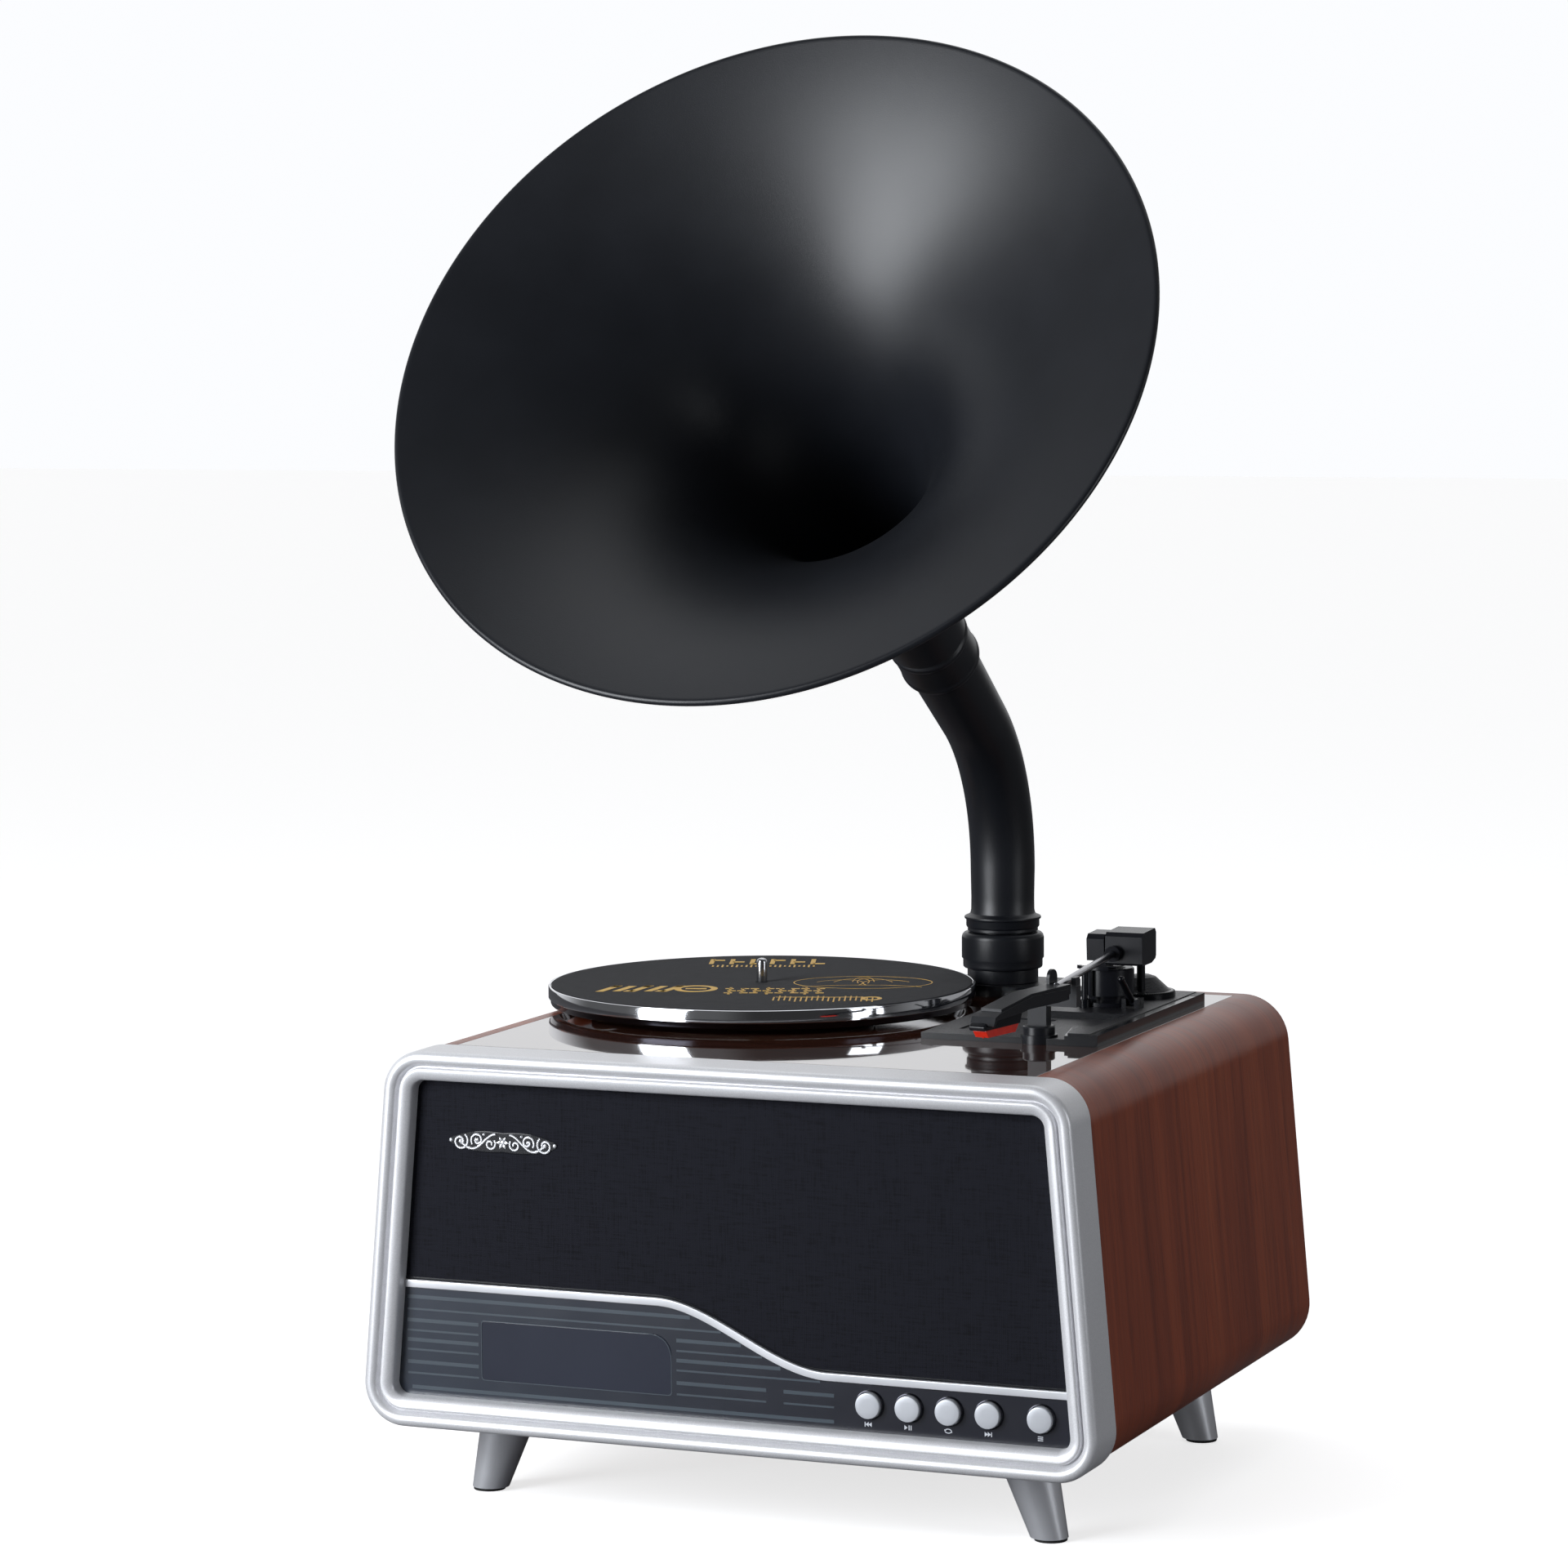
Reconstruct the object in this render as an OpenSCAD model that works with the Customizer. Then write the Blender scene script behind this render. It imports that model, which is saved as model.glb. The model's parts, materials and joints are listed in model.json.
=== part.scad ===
// Horn record player: a wood-sided tapered cabinet with a silver front frame, belt-driven platter,
// tonearm console and a black swivelling horn. All sizes in millimetres, Z up, feet on Z = 0.
// Working frame inside place(): X across the front, Y from the front face backwards,
// Z up from the underside of the cabinet.

/* [Cabinet] */
// width of the front face at the bottom
cab_wb = 500; // [480:1:520]
// width of the front face at the top
cab_wt = 458; // [440:1:480]
// height of the cabinet without its feet
cab_h = 242; // [232:1:252]
// depth of the cabinet
cab_d = 442; // [436:1:460]
// rounding of the long edges of the wood body
cab_r = 32; // [26:1:34]
// thickness of the wood walls
wall = 12; // [10:1:14]
// height of the feet below the cabinet
foot_h = 52.5; // [40:0.5:60]

/* [Front] */
// depth of the silver front frame
bezel_d = 37; // [34:1:40]
// width of the frame seen from the front
bezel_w = 19.2; // [17:0.1:20]
// rounding of the outer corners of the frame
bezel_r = 27; // [24:1:30]
// setback of the grille and control panel behind the frame
panel_y = 14; // [13:0.5:16]
// radius of the push button caps
button_r = 8.1; // [7:0.1:8.2]
// travel of a push button
button_travel = 1.5; // [1:0.1:2]

/* [Turntable] */
// outer radius of the platter
platter_r = 143.2; // [138:0.1:144]
// height of the mat surface above the deck
mat_z = 16.6; // [16:0.1:18]
// radius of the centre spindle
spindle_r = 3.6; // [3.5:0.05:3.62]
// radius of the belt drum under the platter
drum_r = 75; // [70:1:78]
// radius of the motor pulley where the belt runs
pulley_r = 7; // [6:0.5:8]

/* [Horn] */
// radius of the horn mouth
mouth_r = 240.6; // [220:0.1:250]
// upward tilt of the horn axis in degrees
horn_tilt = 34.9; // [30:0.1:40]
// bend radius of the pipe
bend_r = 130; // [120:1:140]
// wall thickness of the bell
bell_t = 2; // [1.6:0.1:2.4]

/* [Tonearm] */
// radius of the arm tube
tube_r = 2.3; // [2:0.1:2.6]

/* [Hidden] */

$fn = 64;
top = cab_h;
slope = (cab_wb - cab_wt) / 2 / cab_h;
sec = sqrt(1 + slope * slope);
horn_x = 42;
horn_y = 396;
mouth_y = -9.4;
mouth_z = 436;
frame_x = -18.84;
frame_y = -149.93;
spin_x = -84;
spin_y = 271;
motor_gap = 108;
motor_a = 215;
motor_x = spin_x + motor_gap * cos(motor_a);
motor_y = spin_y + motor_gap * sin(motor_a);
pivot_x = 148;
pivot_y = 309;
foot_x = 193;
foot_lean = 15.3;
foot_ys = [71, 371];
button_xs = [95.3, 121.3, 147.6, 173.6, 207.4];
button_z = 36.2;
strip_w = 5;
board_o = 15.1;
board_r = 12;
axle_z = 45;
joint_x = 21;
joint_y = -159;
joint_z = 40;
tube_a = [8.04, -9.4, 43.09];
tube_b = [joint_x, joint_y, joint_z];
shell_turn = -9;

// ---------- helpers ----------
module place() translate([frame_x, frame_y, foot_h]) children();

module deck() place() translate([0, 0, top]) children();

module slab(y0, y1) translate([0, y1, 0]) rotate([90, 0, 0]) linear_extrude(y1 - y0) children();

function half_w(z) = cab_wb / 2 - slope * z;

function trap(o) = [
    [-(half_w(o) - o * sec), o], [half_w(o) - o * sec, o],
    [half_w(cab_h - o) - o * sec, cab_h - o], [-(half_w(cab_h - o) - o * sec), cab_h - o]];

function unit(v) = v / norm(v);

function wrap(a) = a > 180 ? a - 360 : (a < -180 ? a + 360 : a);

function corner(p, a, b, r, n) =
    let (u = unit(a - p), v = unit(b - p), h = acos(u * v) / 2,
        c = p + unit(u + v) * r / sin(h), s = p + u * r / tan(h), e = p + v * r / tan(h),
        a0 = atan2(s[1] - c[1], s[0] - c[0]),
        da = wrap(atan2(e[1] - c[1], e[0] - c[0]) - a0))
    [for (i = [0:n]) c + r * [cos(a0 + da * i / n), sin(a0 + da * i / n)]];

function rounded(q, r, n) = [for (i = [0:len(q) - 1])
    each corner(q[i], q[(i + len(q) - 1) % len(q)], q[(i + 1) % len(q)], r, n)];

module outline(o, r) polygon(rounded(trap(o), r, 12));

module ring(o0, r0, o1, r1) difference() {
    outline(o0, r0);
    outline(o1, r1);
}

module rod(a, b, r) {
    d = b - a;
    translate(a) rotate([0, acos(d[2] / norm(d)), atan2(d[1], d[0])]) cylinder(h = norm(d), r = r);
}

module box(a, b) translate(a) cube(b - a);

// ---------- cabinet ----------
module deck_cut(z0, r) translate([0, 0, z0]) cylinder(h = 60, r = r);

module cabinet_shell() color([0.42, 0.16, 0.07]) place() difference() {
    slab(bezel_d, cab_d) ring(0, cab_r, wall, cab_r - wall);
    box([-196, bezel_d - 1, top - 3], [196, 430, top + 1]);
    translate([spin_x, spin_y, 0]) deck_cut(top - 30, 11);
    translate([motor_x, motor_y, 0]) deck_cut(top - 30, 6);
    translate([pivot_x, pivot_y, 0]) deck_cut(top - 30, 9);
    translate([horn_x, horn_y, 0]) deck_cut(top - 30, 24.5);
}

module front_bezel() color([0.72, 0.73, 0.75]) place() {
    slab(2.2, 4) ring(0.8, bezel_r - 0.8, 9.2, bezel_r - 9.2);
    slab(0.9, 2.2) ring(2.2, bezel_r - 2.2, 8.0, bezel_r - 8.0);
    slab(0, 0.9) ring(3.8, bezel_r - 3.8, 6.6, bezel_r - 6.6);
    slab(2.6, 4) ring(10.6, bezel_r - 10.6, bezel_w, 5);
    slab(1.6, 2.6) ring(11.8, bezel_r - 11.8, 17.6, 6.6);
    slab(4, panel_y - 0.1) ring(0, bezel_r, bezel_w, 5);
    slab(panel_y - 0.1, bezel_d) ring(0, bezel_r, 14.8, 12);
}

module baffle_board() color([0.35, 0.27, 0.18]) place() difference() {
    slab(panel_y + 4.2, panel_y + 14) outline(board_o, board_r);
    for (x = [-125, 125]) translate([x, 0, 152]) rotate([-90, 0, 0]) cylinder(h = 60, r = 47);
    box([-176, 0, 28], [-31, 60, 76]);
    box([84, 0, 24], [220, 60, 49]);
}

// S-shaped line that parts the cloth grille from the control panel
s_x0 = -48;
s_x1 = 68;
s_z0 = 93.3;
s_z1 = 54.3;
s_n = 24;

function ease(t) = t <= 0 ? 0 : (t >= 1 ? 1 : t * t * (3 - 2 * t));

function s_z(x) = s_z0 - (s_z0 - s_z1) * ease((x - s_x0) / (s_x1 - s_x0));

function s_slope(x) = (s_z(x + 0.5) - s_z(x - 0.5));

function s_pt(x, o) = [x, s_z(x) - strip_w / 2] + o * unit([-s_slope(x), 1]);

function s_line(x0, x1, o) = concat([[x0, s_z(x0) - strip_w / 2 + o]],
    [for (i = [0:s_n]) s_pt(s_x0 + (s_x1 - s_x0) * i / s_n, o)],
    [[x1, s_z(x1) - strip_w / 2 + o]]);

function flip(q) = [for (i = [len(q) - 1:-1:0]) q[i]];

module above(o) polygon(concat(s_line(-300, 300, o), [[300, 300], [-300, 300]]));

module below(o) polygon(concat([[-300, -50], [300, -50]], flip(s_line(-300, 300, o))));

module grille_panel() color([0.03, 0.03, 0.04]) place() slab(panel_y, panel_y + 4) intersection() {
    outline(board_o, board_r);
    above(strip_w / 2 + 0.15);
}

module trim_strip() color([0.78, 0.79, 0.8]) place() slab(panel_y - 1.8, panel_y + 4) intersection() {
    outline(bezel_w + 0.2, 4);
    polygon(concat(s_line(-300, 300, -strip_w / 2), flip(s_line(-300, 300, strip_w / 2))));
}

function window_pts(g) = concat(
    corner([-169.5 + g, 31.8 + g], [-169.5 + g, 69.8 - g], [-38 - g, 31.8 + g], 2, 4),
    corner([-38 - g, 31.8 + g], [-169.5 + g, 31.8 + g], [-38 - g, 69.8 - g], 2, 4),
    corner([-38 - g, 69.8 - g], [-38 - g, 31.8 + g], [-169.5 + g, 69.8 - g], 12, 10),
    corner([-169.5 + g, 69.8 - g], [-38 - g, 69.8 - g], [-169.5 + g, 31.8 + g], 2, 4));

module control_panel() color([0.05, 0.07, 0.11]) place() difference() {
    slab(panel_y, panel_y + 4) intersection() {
        outline(board_o, board_r);
        below(-strip_w / 2 - 0.15);
    }
    slab(panel_y - 1, panel_y + 1.6) polygon(window_pts(0));
    slab(panel_y - 1, panel_y + 9) polygon(window_pts(6));
    for (x = button_xs) translate([x, 0, button_z]) rotate([-90, 0, 0]) cylinder(h = 60, r = button_r + 0.4);
}

module display_window() color([0.06, 0.08, 0.13]) place()
    slab(panel_y + 0.1, panel_y + 1.5) polygon(window_pts(0.1));

module display_module() color([0.1, 0.12, 0.1]) place() {
    box([-162, panel_y + 1.8, 39], [-53, panel_y + 3.8, 62]);
    box([-166, panel_y + 4.6, 35], [-40, panel_y + 11, 68]);
    box([-150, panel_y + 3.8, 42], [-60, panel_y + 4.6, 60]);
}

module badge_plaque() color([0.85, 0.86, 0.88]) place() {
    slab(panel_y - 1.4, panel_y - 0.05) polygon([for (i = [0:47])
        [-152.8, 184.8] + [37 * cos(7.5 * i), (5.6 + 1.6 * cos(30 * i)) * sin(7.5 * i)]]);
    slab(panel_y - 2.2, panel_y - 1.4) for (k = [-2:2]) translate([-152.8 + 13 * k, 184.8])
        circle(r = 3.4 - 0.5 * abs(k));
}

module control_board() color([0.05, 0.25, 0.12]) place() {
    box([86, panel_y + 15, 25], [218, panel_y + 16.6, 48]);
    for (x = button_xs) box([x - 3, panel_y + 10.2, button_z - 3], [x + 3, panel_y + 15, button_z + 3]);
}

module button_rings() color([0.82, 0.83, 0.85]) place() for (x = button_xs)
    translate([x, panel_y - 0.02, button_z]) rotate([90, 0, 0]) difference() {
        cylinder(h = 1.4, r = button_r + 1.3);
        translate([0, 0, -1]) cylinder(h = 4, r = button_r + 0.4);
    }

module button_cap(x) color([0.8, 0.81, 0.83]) place() translate([x, 0, button_z]) rotate([-90, 0, 0]) {
    translate([0, 0, 10.2]) cylinder(h = panel_y + 5.6 - 10.2, r = button_r);
    translate([0, 0, 9.5]) cylinder(h = 0.8, r1 = button_r - 0.8, r2 = button_r);
    translate([0, 0, panel_y + 4.9]) cylinder(h = 1.2, r = button_r + 1.2);
    translate([0, 0, panel_y + 6]) cylinder(h = 2.2, r = 2);
}

module button_previous() button_cap(button_xs[0]);

module button_play() button_cap(button_xs[1]);

module button_repeat() button_cap(button_xs[2]);

module button_next() button_cap(button_xs[3]);

module button_mode() button_cap(button_xs[4]);

module speaker(x) color([0.12, 0.12, 0.13]) place() translate([x, panel_y + 14.2, 152]) rotate([-90, 0, 0]) {
    difference() {
        cylinder(h = 3, r = 53);
        translate([0, 0, -1]) cylinder(h = 9, r = 45);
    }
    difference() {
        translate([0, 0, 2.9]) cylinder(h = 24, r1 = 48, r2 = 24);
        translate([0, 0, 2.8]) cylinder(h = 22, r1 = 46.4, r2 = 18);
    }
    translate([0, 0, 26.8]) cylinder(h = 18, r = 34);
    translate([0, 0, 24]) cylinder(h = 4, r = 12);
}

module speaker_left() speaker(-125);

module speaker_right() speaker(125);

back_y = cab_d - 8;
screw_pts = [[-210, 30], [0, 22], [210, 30], [-200, 120], [200, 120], [-188, 212], [0, 220], [188, 212]];

module back_panel() color([0.06, 0.06, 0.06]) place() difference() {
    slab(back_y, back_y + 5) outline(wall + 0.2, cab_r - wall);
    box([-61, 0, 42], [61, cab_d + 9, 88]);
    for (q = screw_pts) translate([q[0], 0, q[1]]) rotate([-90, 0, 0]) cylinder(h = 600, r = 1.8);
}

module back_screws() color([0.2, 0.2, 0.2]) place() for (q = screw_pts)
    translate([q[0], back_y + 5.05, q[1]]) rotate([-90, 0, 0]) {
        difference() {
            cylinder(h = 1.8, r1 = 3.6, r2 = 3);
            translate([-0.5, -2, 1]) cube([1, 4, 2]);
            translate([-2, -0.5, 1]) cube([4, 1, 2]);
        }
        translate([0, 0, -12]) cylinder(h = 12.5, r = 1.6);
    }

jack_xs = [-34, -20];

module connector_plate() color([0.08, 0.08, 0.085]) place() difference() {
    union() {
        box([-64, back_y + 5.05, 36], [64, back_y + 7, 94]);
        for (x = [44, 57.8]) box([x, back_y - 7, 56], [x + 2.2, back_y + 5.1, 74]);
    }
    for (x = jack_xs) translate([x, 0, 65]) rotate([-90, 0, 0]) cylinder(h = 600, r = 5.1);
    translate([-3, 0, 65]) rotate([-90, 0, 0]) cylinder(h = 600, r = 4.1);
    box([7.9, 0, 61.9], [22.1, 600, 68.1]);
    translate([34, 0, 65]) rotate([-90, 0, 0]) cylinder(h = 600, r = 5.6);
    box([46.2, 0, 55.9], [57.8, 600, 74.1]);
    translate([40, back_y + 4, 65]) rotate([0, 90, 0]) cylinder(h = 30, r = 1.25);
}

module power_inlet() color([0.05, 0.05, 0.05]) place() translate([34, back_y - 6, 65]) rotate([-90, 0, 0]) {
    difference() {
        cylinder(h = 13.6, r = 5.5);
        translate([0, 0, 3]) cylinder(h = 20, r = 3.2);
    }
    cylinder(h = 12, r = 1.1);
}

module line_jacks() color([0.75, 0.7, 0.55]) place() for (x = jack_xs)
    translate([x, back_y - 8, 65]) rotate([-90, 0, 0]) difference() {
        union() {
            cylinder(h = 16.4, r = 5);
            cylinder(h = 23, r = 4.1);
        }
        translate([0, 0, 8]) cylinder(h = 20, r = 1.6);
    }

module aux_jack() color([0.05, 0.05, 0.05]) place()
translate([-3, back_y - 8, 65]) rotate([-90, 0, 0]) difference() {
    cylinder(h = 16, r = 4);
    translate([0, 0, 4]) cylinder(h = 20, r = 1.8);
}

module usb_port() color([0.7, 0.71, 0.73]) place() difference() {
    box([8, back_y - 9, 62], [22, back_y + 7.4, 68]);
    box([8.6, back_y - 7, 62.6], [21.4, back_y + 9, 67.4]);
}

module power_switch() color([0.04, 0.04, 0.04]) place() translate([52, back_y + 4, 65]) rotate([90, 0, 90]) {
    translate([0, 0, -5.5]) linear_extrude(11) polygon([[-5, -7.0], [2.6, -7.4], [4.8, -6.4], [3.2, 0],
        [3.6, 7.0], [2.2, 7.6], [-5, 7.0]]);
    translate([0, 0, -7.8]) cylinder(h = 15.6, r = 1.2);
}

module main_board() color([0.05, 0.22, 0.1]) place() {
    box([-70, back_y - 14, 30], [70, back_y - 12.4, 100]);
    for (i = [0:5]) translate([-58 + 22 * i, back_y - 13.9, 88]) rotate([90, 0, 0]) cylinder(h = 12, r = 5);
    box([-20, back_y - 26, 34], [30, back_y - 13.9, 52]);
}

module power_supply() color([0.3, 0.3, 0.32]) place() {
    box([130, 330, wall], [205, 400, wall + 3]);
    box([136, 338, wall + 3], [199, 392, wall + 42]);
    for (x = [143, 192]) translate([x, 365, wall + 42]) cylinder(h = 4, r = 4);
}

// ---------- feet ----------
module foot(sx, y) color([0.62, 0.63, 0.66]) place() difference() {
    translate([sx * foot_x, y, -foot_h]) rotate([0, -sx * atan(foot_lean / foot_h), 0])
        translate([0, 0, -4]) cylinder(h = foot_h + 14, r1 = 10.8, r2 = 19.0);
    box([-300, 0, 0], [300, 600, 40]);
    box([-300, 0, -foot_h - 20], [300, 600, -foot_h + 2]);
}

module foot_front_left() foot(-1, foot_ys[0]);

module foot_front_right() foot(1, foot_ys[0]);

module foot_rear_left() foot(-1, foot_ys[1]);

module foot_rear_right() foot(1, foot_ys[1]);

module foot_pads() color([0.05, 0.05, 0.05]) place() for (sx = [-1, 1]) for (y = foot_ys)
    translate([sx * foot_x, y, -foot_h]) cylinder(h = 1.98, r = 10.4);

// ---------- deck and drive ----------
module deck_panel() color([0.12, 0.05, 0.03]) place() difference() {
    box([-195.9, bezel_d + 0.1, top - 2.95], [195.9, 429.9, top]);
    translate([spin_x, spin_y, 0]) deck_cut(top - 30, 9.4);
    translate([motor_x, motor_y, 0]) deck_cut(top - 30, 6);
    translate([pivot_x, pivot_y, 0]) deck_cut(top - 30, 9);
    translate([horn_x, horn_y, 0]) deck_cut(top - 30, 24.5);
}

module platter() color([0.75, 0.76, 0.78]) deck() translate([spin_x, spin_y, 0]) rotate_extrude($fn = 180)
    polygon([[3.58, 12.1], [134, 12.1], [136, 3.3], [140.6, 3.3], [141.8, 4.6], [142, 9.4],
        [platter_r, 9.9], [platter_r, mat_z - 0.8], [platter_r - 0.5, mat_z - 0.3], [141.6, mat_z - 0.3],
        [141.6, 15.05], [3.58, 15.05]]);

module platter_mat() color([0.03, 0.03, 0.03]) deck() translate([spin_x, spin_y, 0]) difference() {
    translate([0, 0, 15.1]) cylinder(h = mat_z - 15.1, r = 141.3, $fn = 180);
    translate([0, 0, 10]) cylinder(h = 20, r = 4.1);
}

module spindle() color([0.85, 0.85, 0.86]) deck() translate([spin_x, spin_y, 0]) {
    translate([0, 0, -34]) cylinder(h = 50.6, r = spindle_r - 0.05);
    translate([0, 0, mat_z]) cylinder(h = 13.3, r = spindle_r);
    translate([0, 0, 29.9]) cylinder(h = 1.8, r1 = spindle_r - 0.05, r2 = 2.7);
    translate([0, 0, 31.6]) cylinder(h = 1, r1 = 2.7, r2 = 1.2);
}

module sub_platter() color([0.85, 0.85, 0.82]) deck() translate([spin_x, spin_y, 0]) difference() {
    translate([0, 0, 4.2]) cylinder(h = 7.85, r = drum_r, $fn = 120);
    translate([0, 0, 0]) cylinder(h = 20, r = spindle_r - 0.02);
    difference() {
        translate([0, 0, 3]) cylinder(h = 7, r = drum_r - 4, $fn = 120);
        cylinder(h = 20, r = 13);
    }
}

module bearing_sleeve() color([0.7, 0.58, 0.3]) deck() translate([spin_x, spin_y, 0]) difference() {
    union() {
        translate([0, 0, -38]) cylinder(h = 41.6, r = 9);
        translate([0, 0, -15.5]) cylinder(h = 3.4, r = 18);
    }
    translate([0, 0, -34.4]) cylinder(h = 60, r = spindle_r - 0.01);
}

module motor() color([0.45, 0.46, 0.48]) deck() translate([motor_x, motor_y, 0]) {
    translate([0, 0, -48]) cylinder(h = 33.5, r = 18);
    translate([0, 0, -14.6]) cylinder(h = 2.5, r = 24);
    translate([0, 0, -14]) cylinder(h = 23.8, r = 1);
}

module motor_pulley() color([0.72, 0.6, 0.3]) deck() translate([motor_x, motor_y, 0]) difference() {
    union() {
        translate([0, 0, 1]) cylinder(h = 10, r = 4.6);
        translate([0, 0, 4.2]) cylinder(h = 6.6, r = pulley_r);
    }
    translate([0, 0, -1]) cylinder(h = 20, r = 1.02);
}

// flat loop of belt round the drum and the pulley, as a chain of computed arc points
belt_b = asin((drum_r - pulley_r) / motor_gap);

function loop(g) = concat(
    [for (i = [0:40]) let (a = motor_a + 90 - belt_b + (180 + 2 * belt_b) * i / 40)
        [spin_x, spin_y] + (drum_r + g) * [cos(a), sin(a)]],
    [for (i = [0:14]) let (a = motor_a - 90 + belt_b + (180 - 2 * belt_b) * i / 14)
        [motor_x, motor_y] + (pulley_r + g) * [cos(a), sin(a)]]);

module drive_belt() color([0.04, 0.04, 0.04]) deck() translate([0, 0, 5]) linear_extrude(4.6) difference() {
    polygon(loop(1.1));
    polygon(loop(0.4));
}

// ---------- tonearm console ----------
module at_pivot() deck() translate([pivot_x, pivot_y, 0]) children();

module console_plate() color([0.03, 0.03, 0.035]) deck() difference() {
    union() {
        box([71, 166, 0.05], [190.5, 384, 4]);
        box([52, 366, 0.05], [190.5, 384.05, 7.5]);
        box([42, 380, 0.05], [88, 425, 7.5]);
        translate([horn_x, horn_y, 0.05]) cylinder(h = 7.45, r = 29.5);
        box([184.5, 166, 0.05], [190.5, 384, 7.4]);
        box([176, 190, 0.05], [184.6, 384, 8]);
        translate([0, 0, 0.05]) linear_extrude(6.35) polygon([[168.2, 166], [184.6, 166], [184.6, 203],
            [160.2, 203]]);
        translate([0, 0, 6.3]) linear_extrude(1.7) polygon([[169.9, 167.6], [184.6, 167.6], [184.6, 201.5],
            [162.2, 201.5]]);
        box([122, 262, 0.05], [184.6, 384, 8]);
        translate([157, 352, 7.9]) cylinder(h = 3.1, r = 22.5);
        translate([157, 352, 10.9]) cylinder(h = 10.2, r1 = 20.4, r2 = 9.4);
        translate([157, 352, 21]) cylinder(h = 1.4, r1 = 9.4, r2 = 5.5);
        translate([161.5, 337, 12]) cylinder(h = 19, r = 2.8);
        translate([139.8, 286.45, 7]) cylinder(h = 6.5, r = 3.8);
        box([165.2, 286.4, 7], [168.2, 297.6, 14.6]);
        box([173.8, 286.4, 7], [176.8, 297.6, 14.6]);
    }
    translate([148, 175, -1]) cylinder(h = 30, r = 12.1);
    translate([horn_x, horn_y, -1]) cylinder(h = 30, r = 20.6);
    translate([pivot_x, pivot_y, -1]) cylinder(h = 30, r = 9);
    translate([pivot_x, pivot_y, 8.02]) cylinder(h = 30, r = 21.8);
    translate([139.8, 286.45, 4.5]) cylinder(h = 30, r = 2.04);
    box([88, 190, 3], [134, 250, 9]);
    translate([160, 292, 12]) rotate([0, 90, 0]) cylinder(h = 30, r = 1.54);
}

module rest_post() color([0.04, 0.04, 0.045]) deck() {
    translate([148, 175, 0.05]) cylinder(h = 5.4, r = 11.9);
    translate([148, 175, 5.4]) cylinder(h = 5, r = 10.2);
    translate([148, 175, 10.3]) cylinder(h = 0.8, r1 = 10.2, r2 = 9.4);
    box([142, 170.4, 11], [154.6, 179.6, 28]);
    box([148, 171, 24], [174.8, 179, 29.6]);
    box([162.4, 171, 29.5], [174.8, 179, 37.5]);
    box([171.2, 171, 37.4], [174.2, 179, 43]);
}

module pivot_base() color([0.035, 0.035, 0.04]) at_pivot() difference() {
    union() {
        translate([0, 0, 8.05]) cylinder(h = 2.6, r = 21.4);
        translate([0, 0, 10.6]) cylinder(h = 1.2, r1 = 21.4, r2 = 14);
        translate([0, 0, 11.7]) cylinder(h = 3, r = 13);
        translate([0, 0, 14.6]) cylinder(h = 17, r = 17.4);
        translate([0, 0, 31.5]) cylinder(h = 0.8, r1 = 17.4, r2 = 16.6);
        translate([0, 0, -12]) cylinder(h = 21, r = 8.8);
    }
    translate([0, 0, -30]) cylinder(h = 90, r = 5.04);
}

module cue_lever() color([0.03, 0.03, 0.03]) deck() {
    rod([171, 292, 12], [171, 268.5, 30], 2.1);
    translate([171, 268.5, 30]) sphere(r = 2.3);
    translate([165, 292, 12]) rotate([0, 90, 0]) cylinder(h = 12, r = 1.5);
    translate([168.5, 292, 12]) rotate([0, 90, 0]) cylinder(h = 5, r = 2.8);
}

// curved bar that carries the arm, on a stem that slides in the console
module cue_lift() color([0.04, 0.04, 0.04]) at_pivot() {
    translate([0, 0, 32.4]) rotate([0, 0, 222]) rotate_extrude(angle = 68)
        translate([19.3, 0]) square([2.7, 2.2]);
    rotate([0, 0, 250]) box([20.4, -1.6, 32.7], [24, 1.6, 34.3]);
    translate([139.8 - pivot_x, 286.45 - pivot_y, 8]) cylinder(h = 26.9, r = 2);
}

module gimbal_bracket() color([0.035, 0.035, 0.04]) at_pivot() difference() {
    union() {
        translate([0, 0, -16]) cylinder(h = 49, r = 5);
        box([-8, -7, 32.7], [10, 7, 33.7]);
        box([-8, -7, 33.6], [1.4, 7, 38]);
        translate([1.4, 0, 0]) rotate([0, -90, 0]) linear_extrude(12.4)
            polygon([[37.4, -11], [51.8, -12], [55, -8.8], [55.8, 9], [52, 12], [37.4, 12]]);
    }
    translate([-8, 0, axle_z]) rotate([0, 90, 0]) cylinder(h = 60, r = 2.52);
}

module gimbal_pin() color([0.7, 0.71, 0.73]) at_pivot() translate([-7.9, 0, axle_z]) rotate([0, 90, 0])
    cylinder(h = 32, r = 2.5);

module arm_housing() color([0.035, 0.035, 0.04]) at_pivot() difference() {
    union() {
        translate([2.2, 0, 0]) rotate([90, 0, 90]) linear_extrude(25.6)
            polygon([[-12, 36.4], [-10.6, 35], [8, 35.2], [15.6, 37.4], [17, 39.4], [17, 54.6], [14.6, 57.6],
                [-9.4, 56.6], [-12, 54]]);
        rod(tube_a, tube_a + 0.05 * (tube_b - tube_a), 5.2);
    }
    translate([-1, 0, axle_z]) rotate([0, 90, 0]) cylinder(h = 25.4, r = 2.54);
    rod(tube_a, tube_b, tube_r + 0.04);
}

module arm_tube() color([0.7, 0.7, 0.72]) at_pivot()
    rod(tube_a, tube_b, tube_r);

module at_shell() at_pivot() translate([joint_x, joint_y, joint_z]) rotate([0, 0, shell_turn]) children();

// side outline of points (back, up), drawn across the shell
module side(half, points)
    translate([-half, 0, 0]) rotate([90, 0, 90]) linear_extrude(2 * half) polygon(points);

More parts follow.
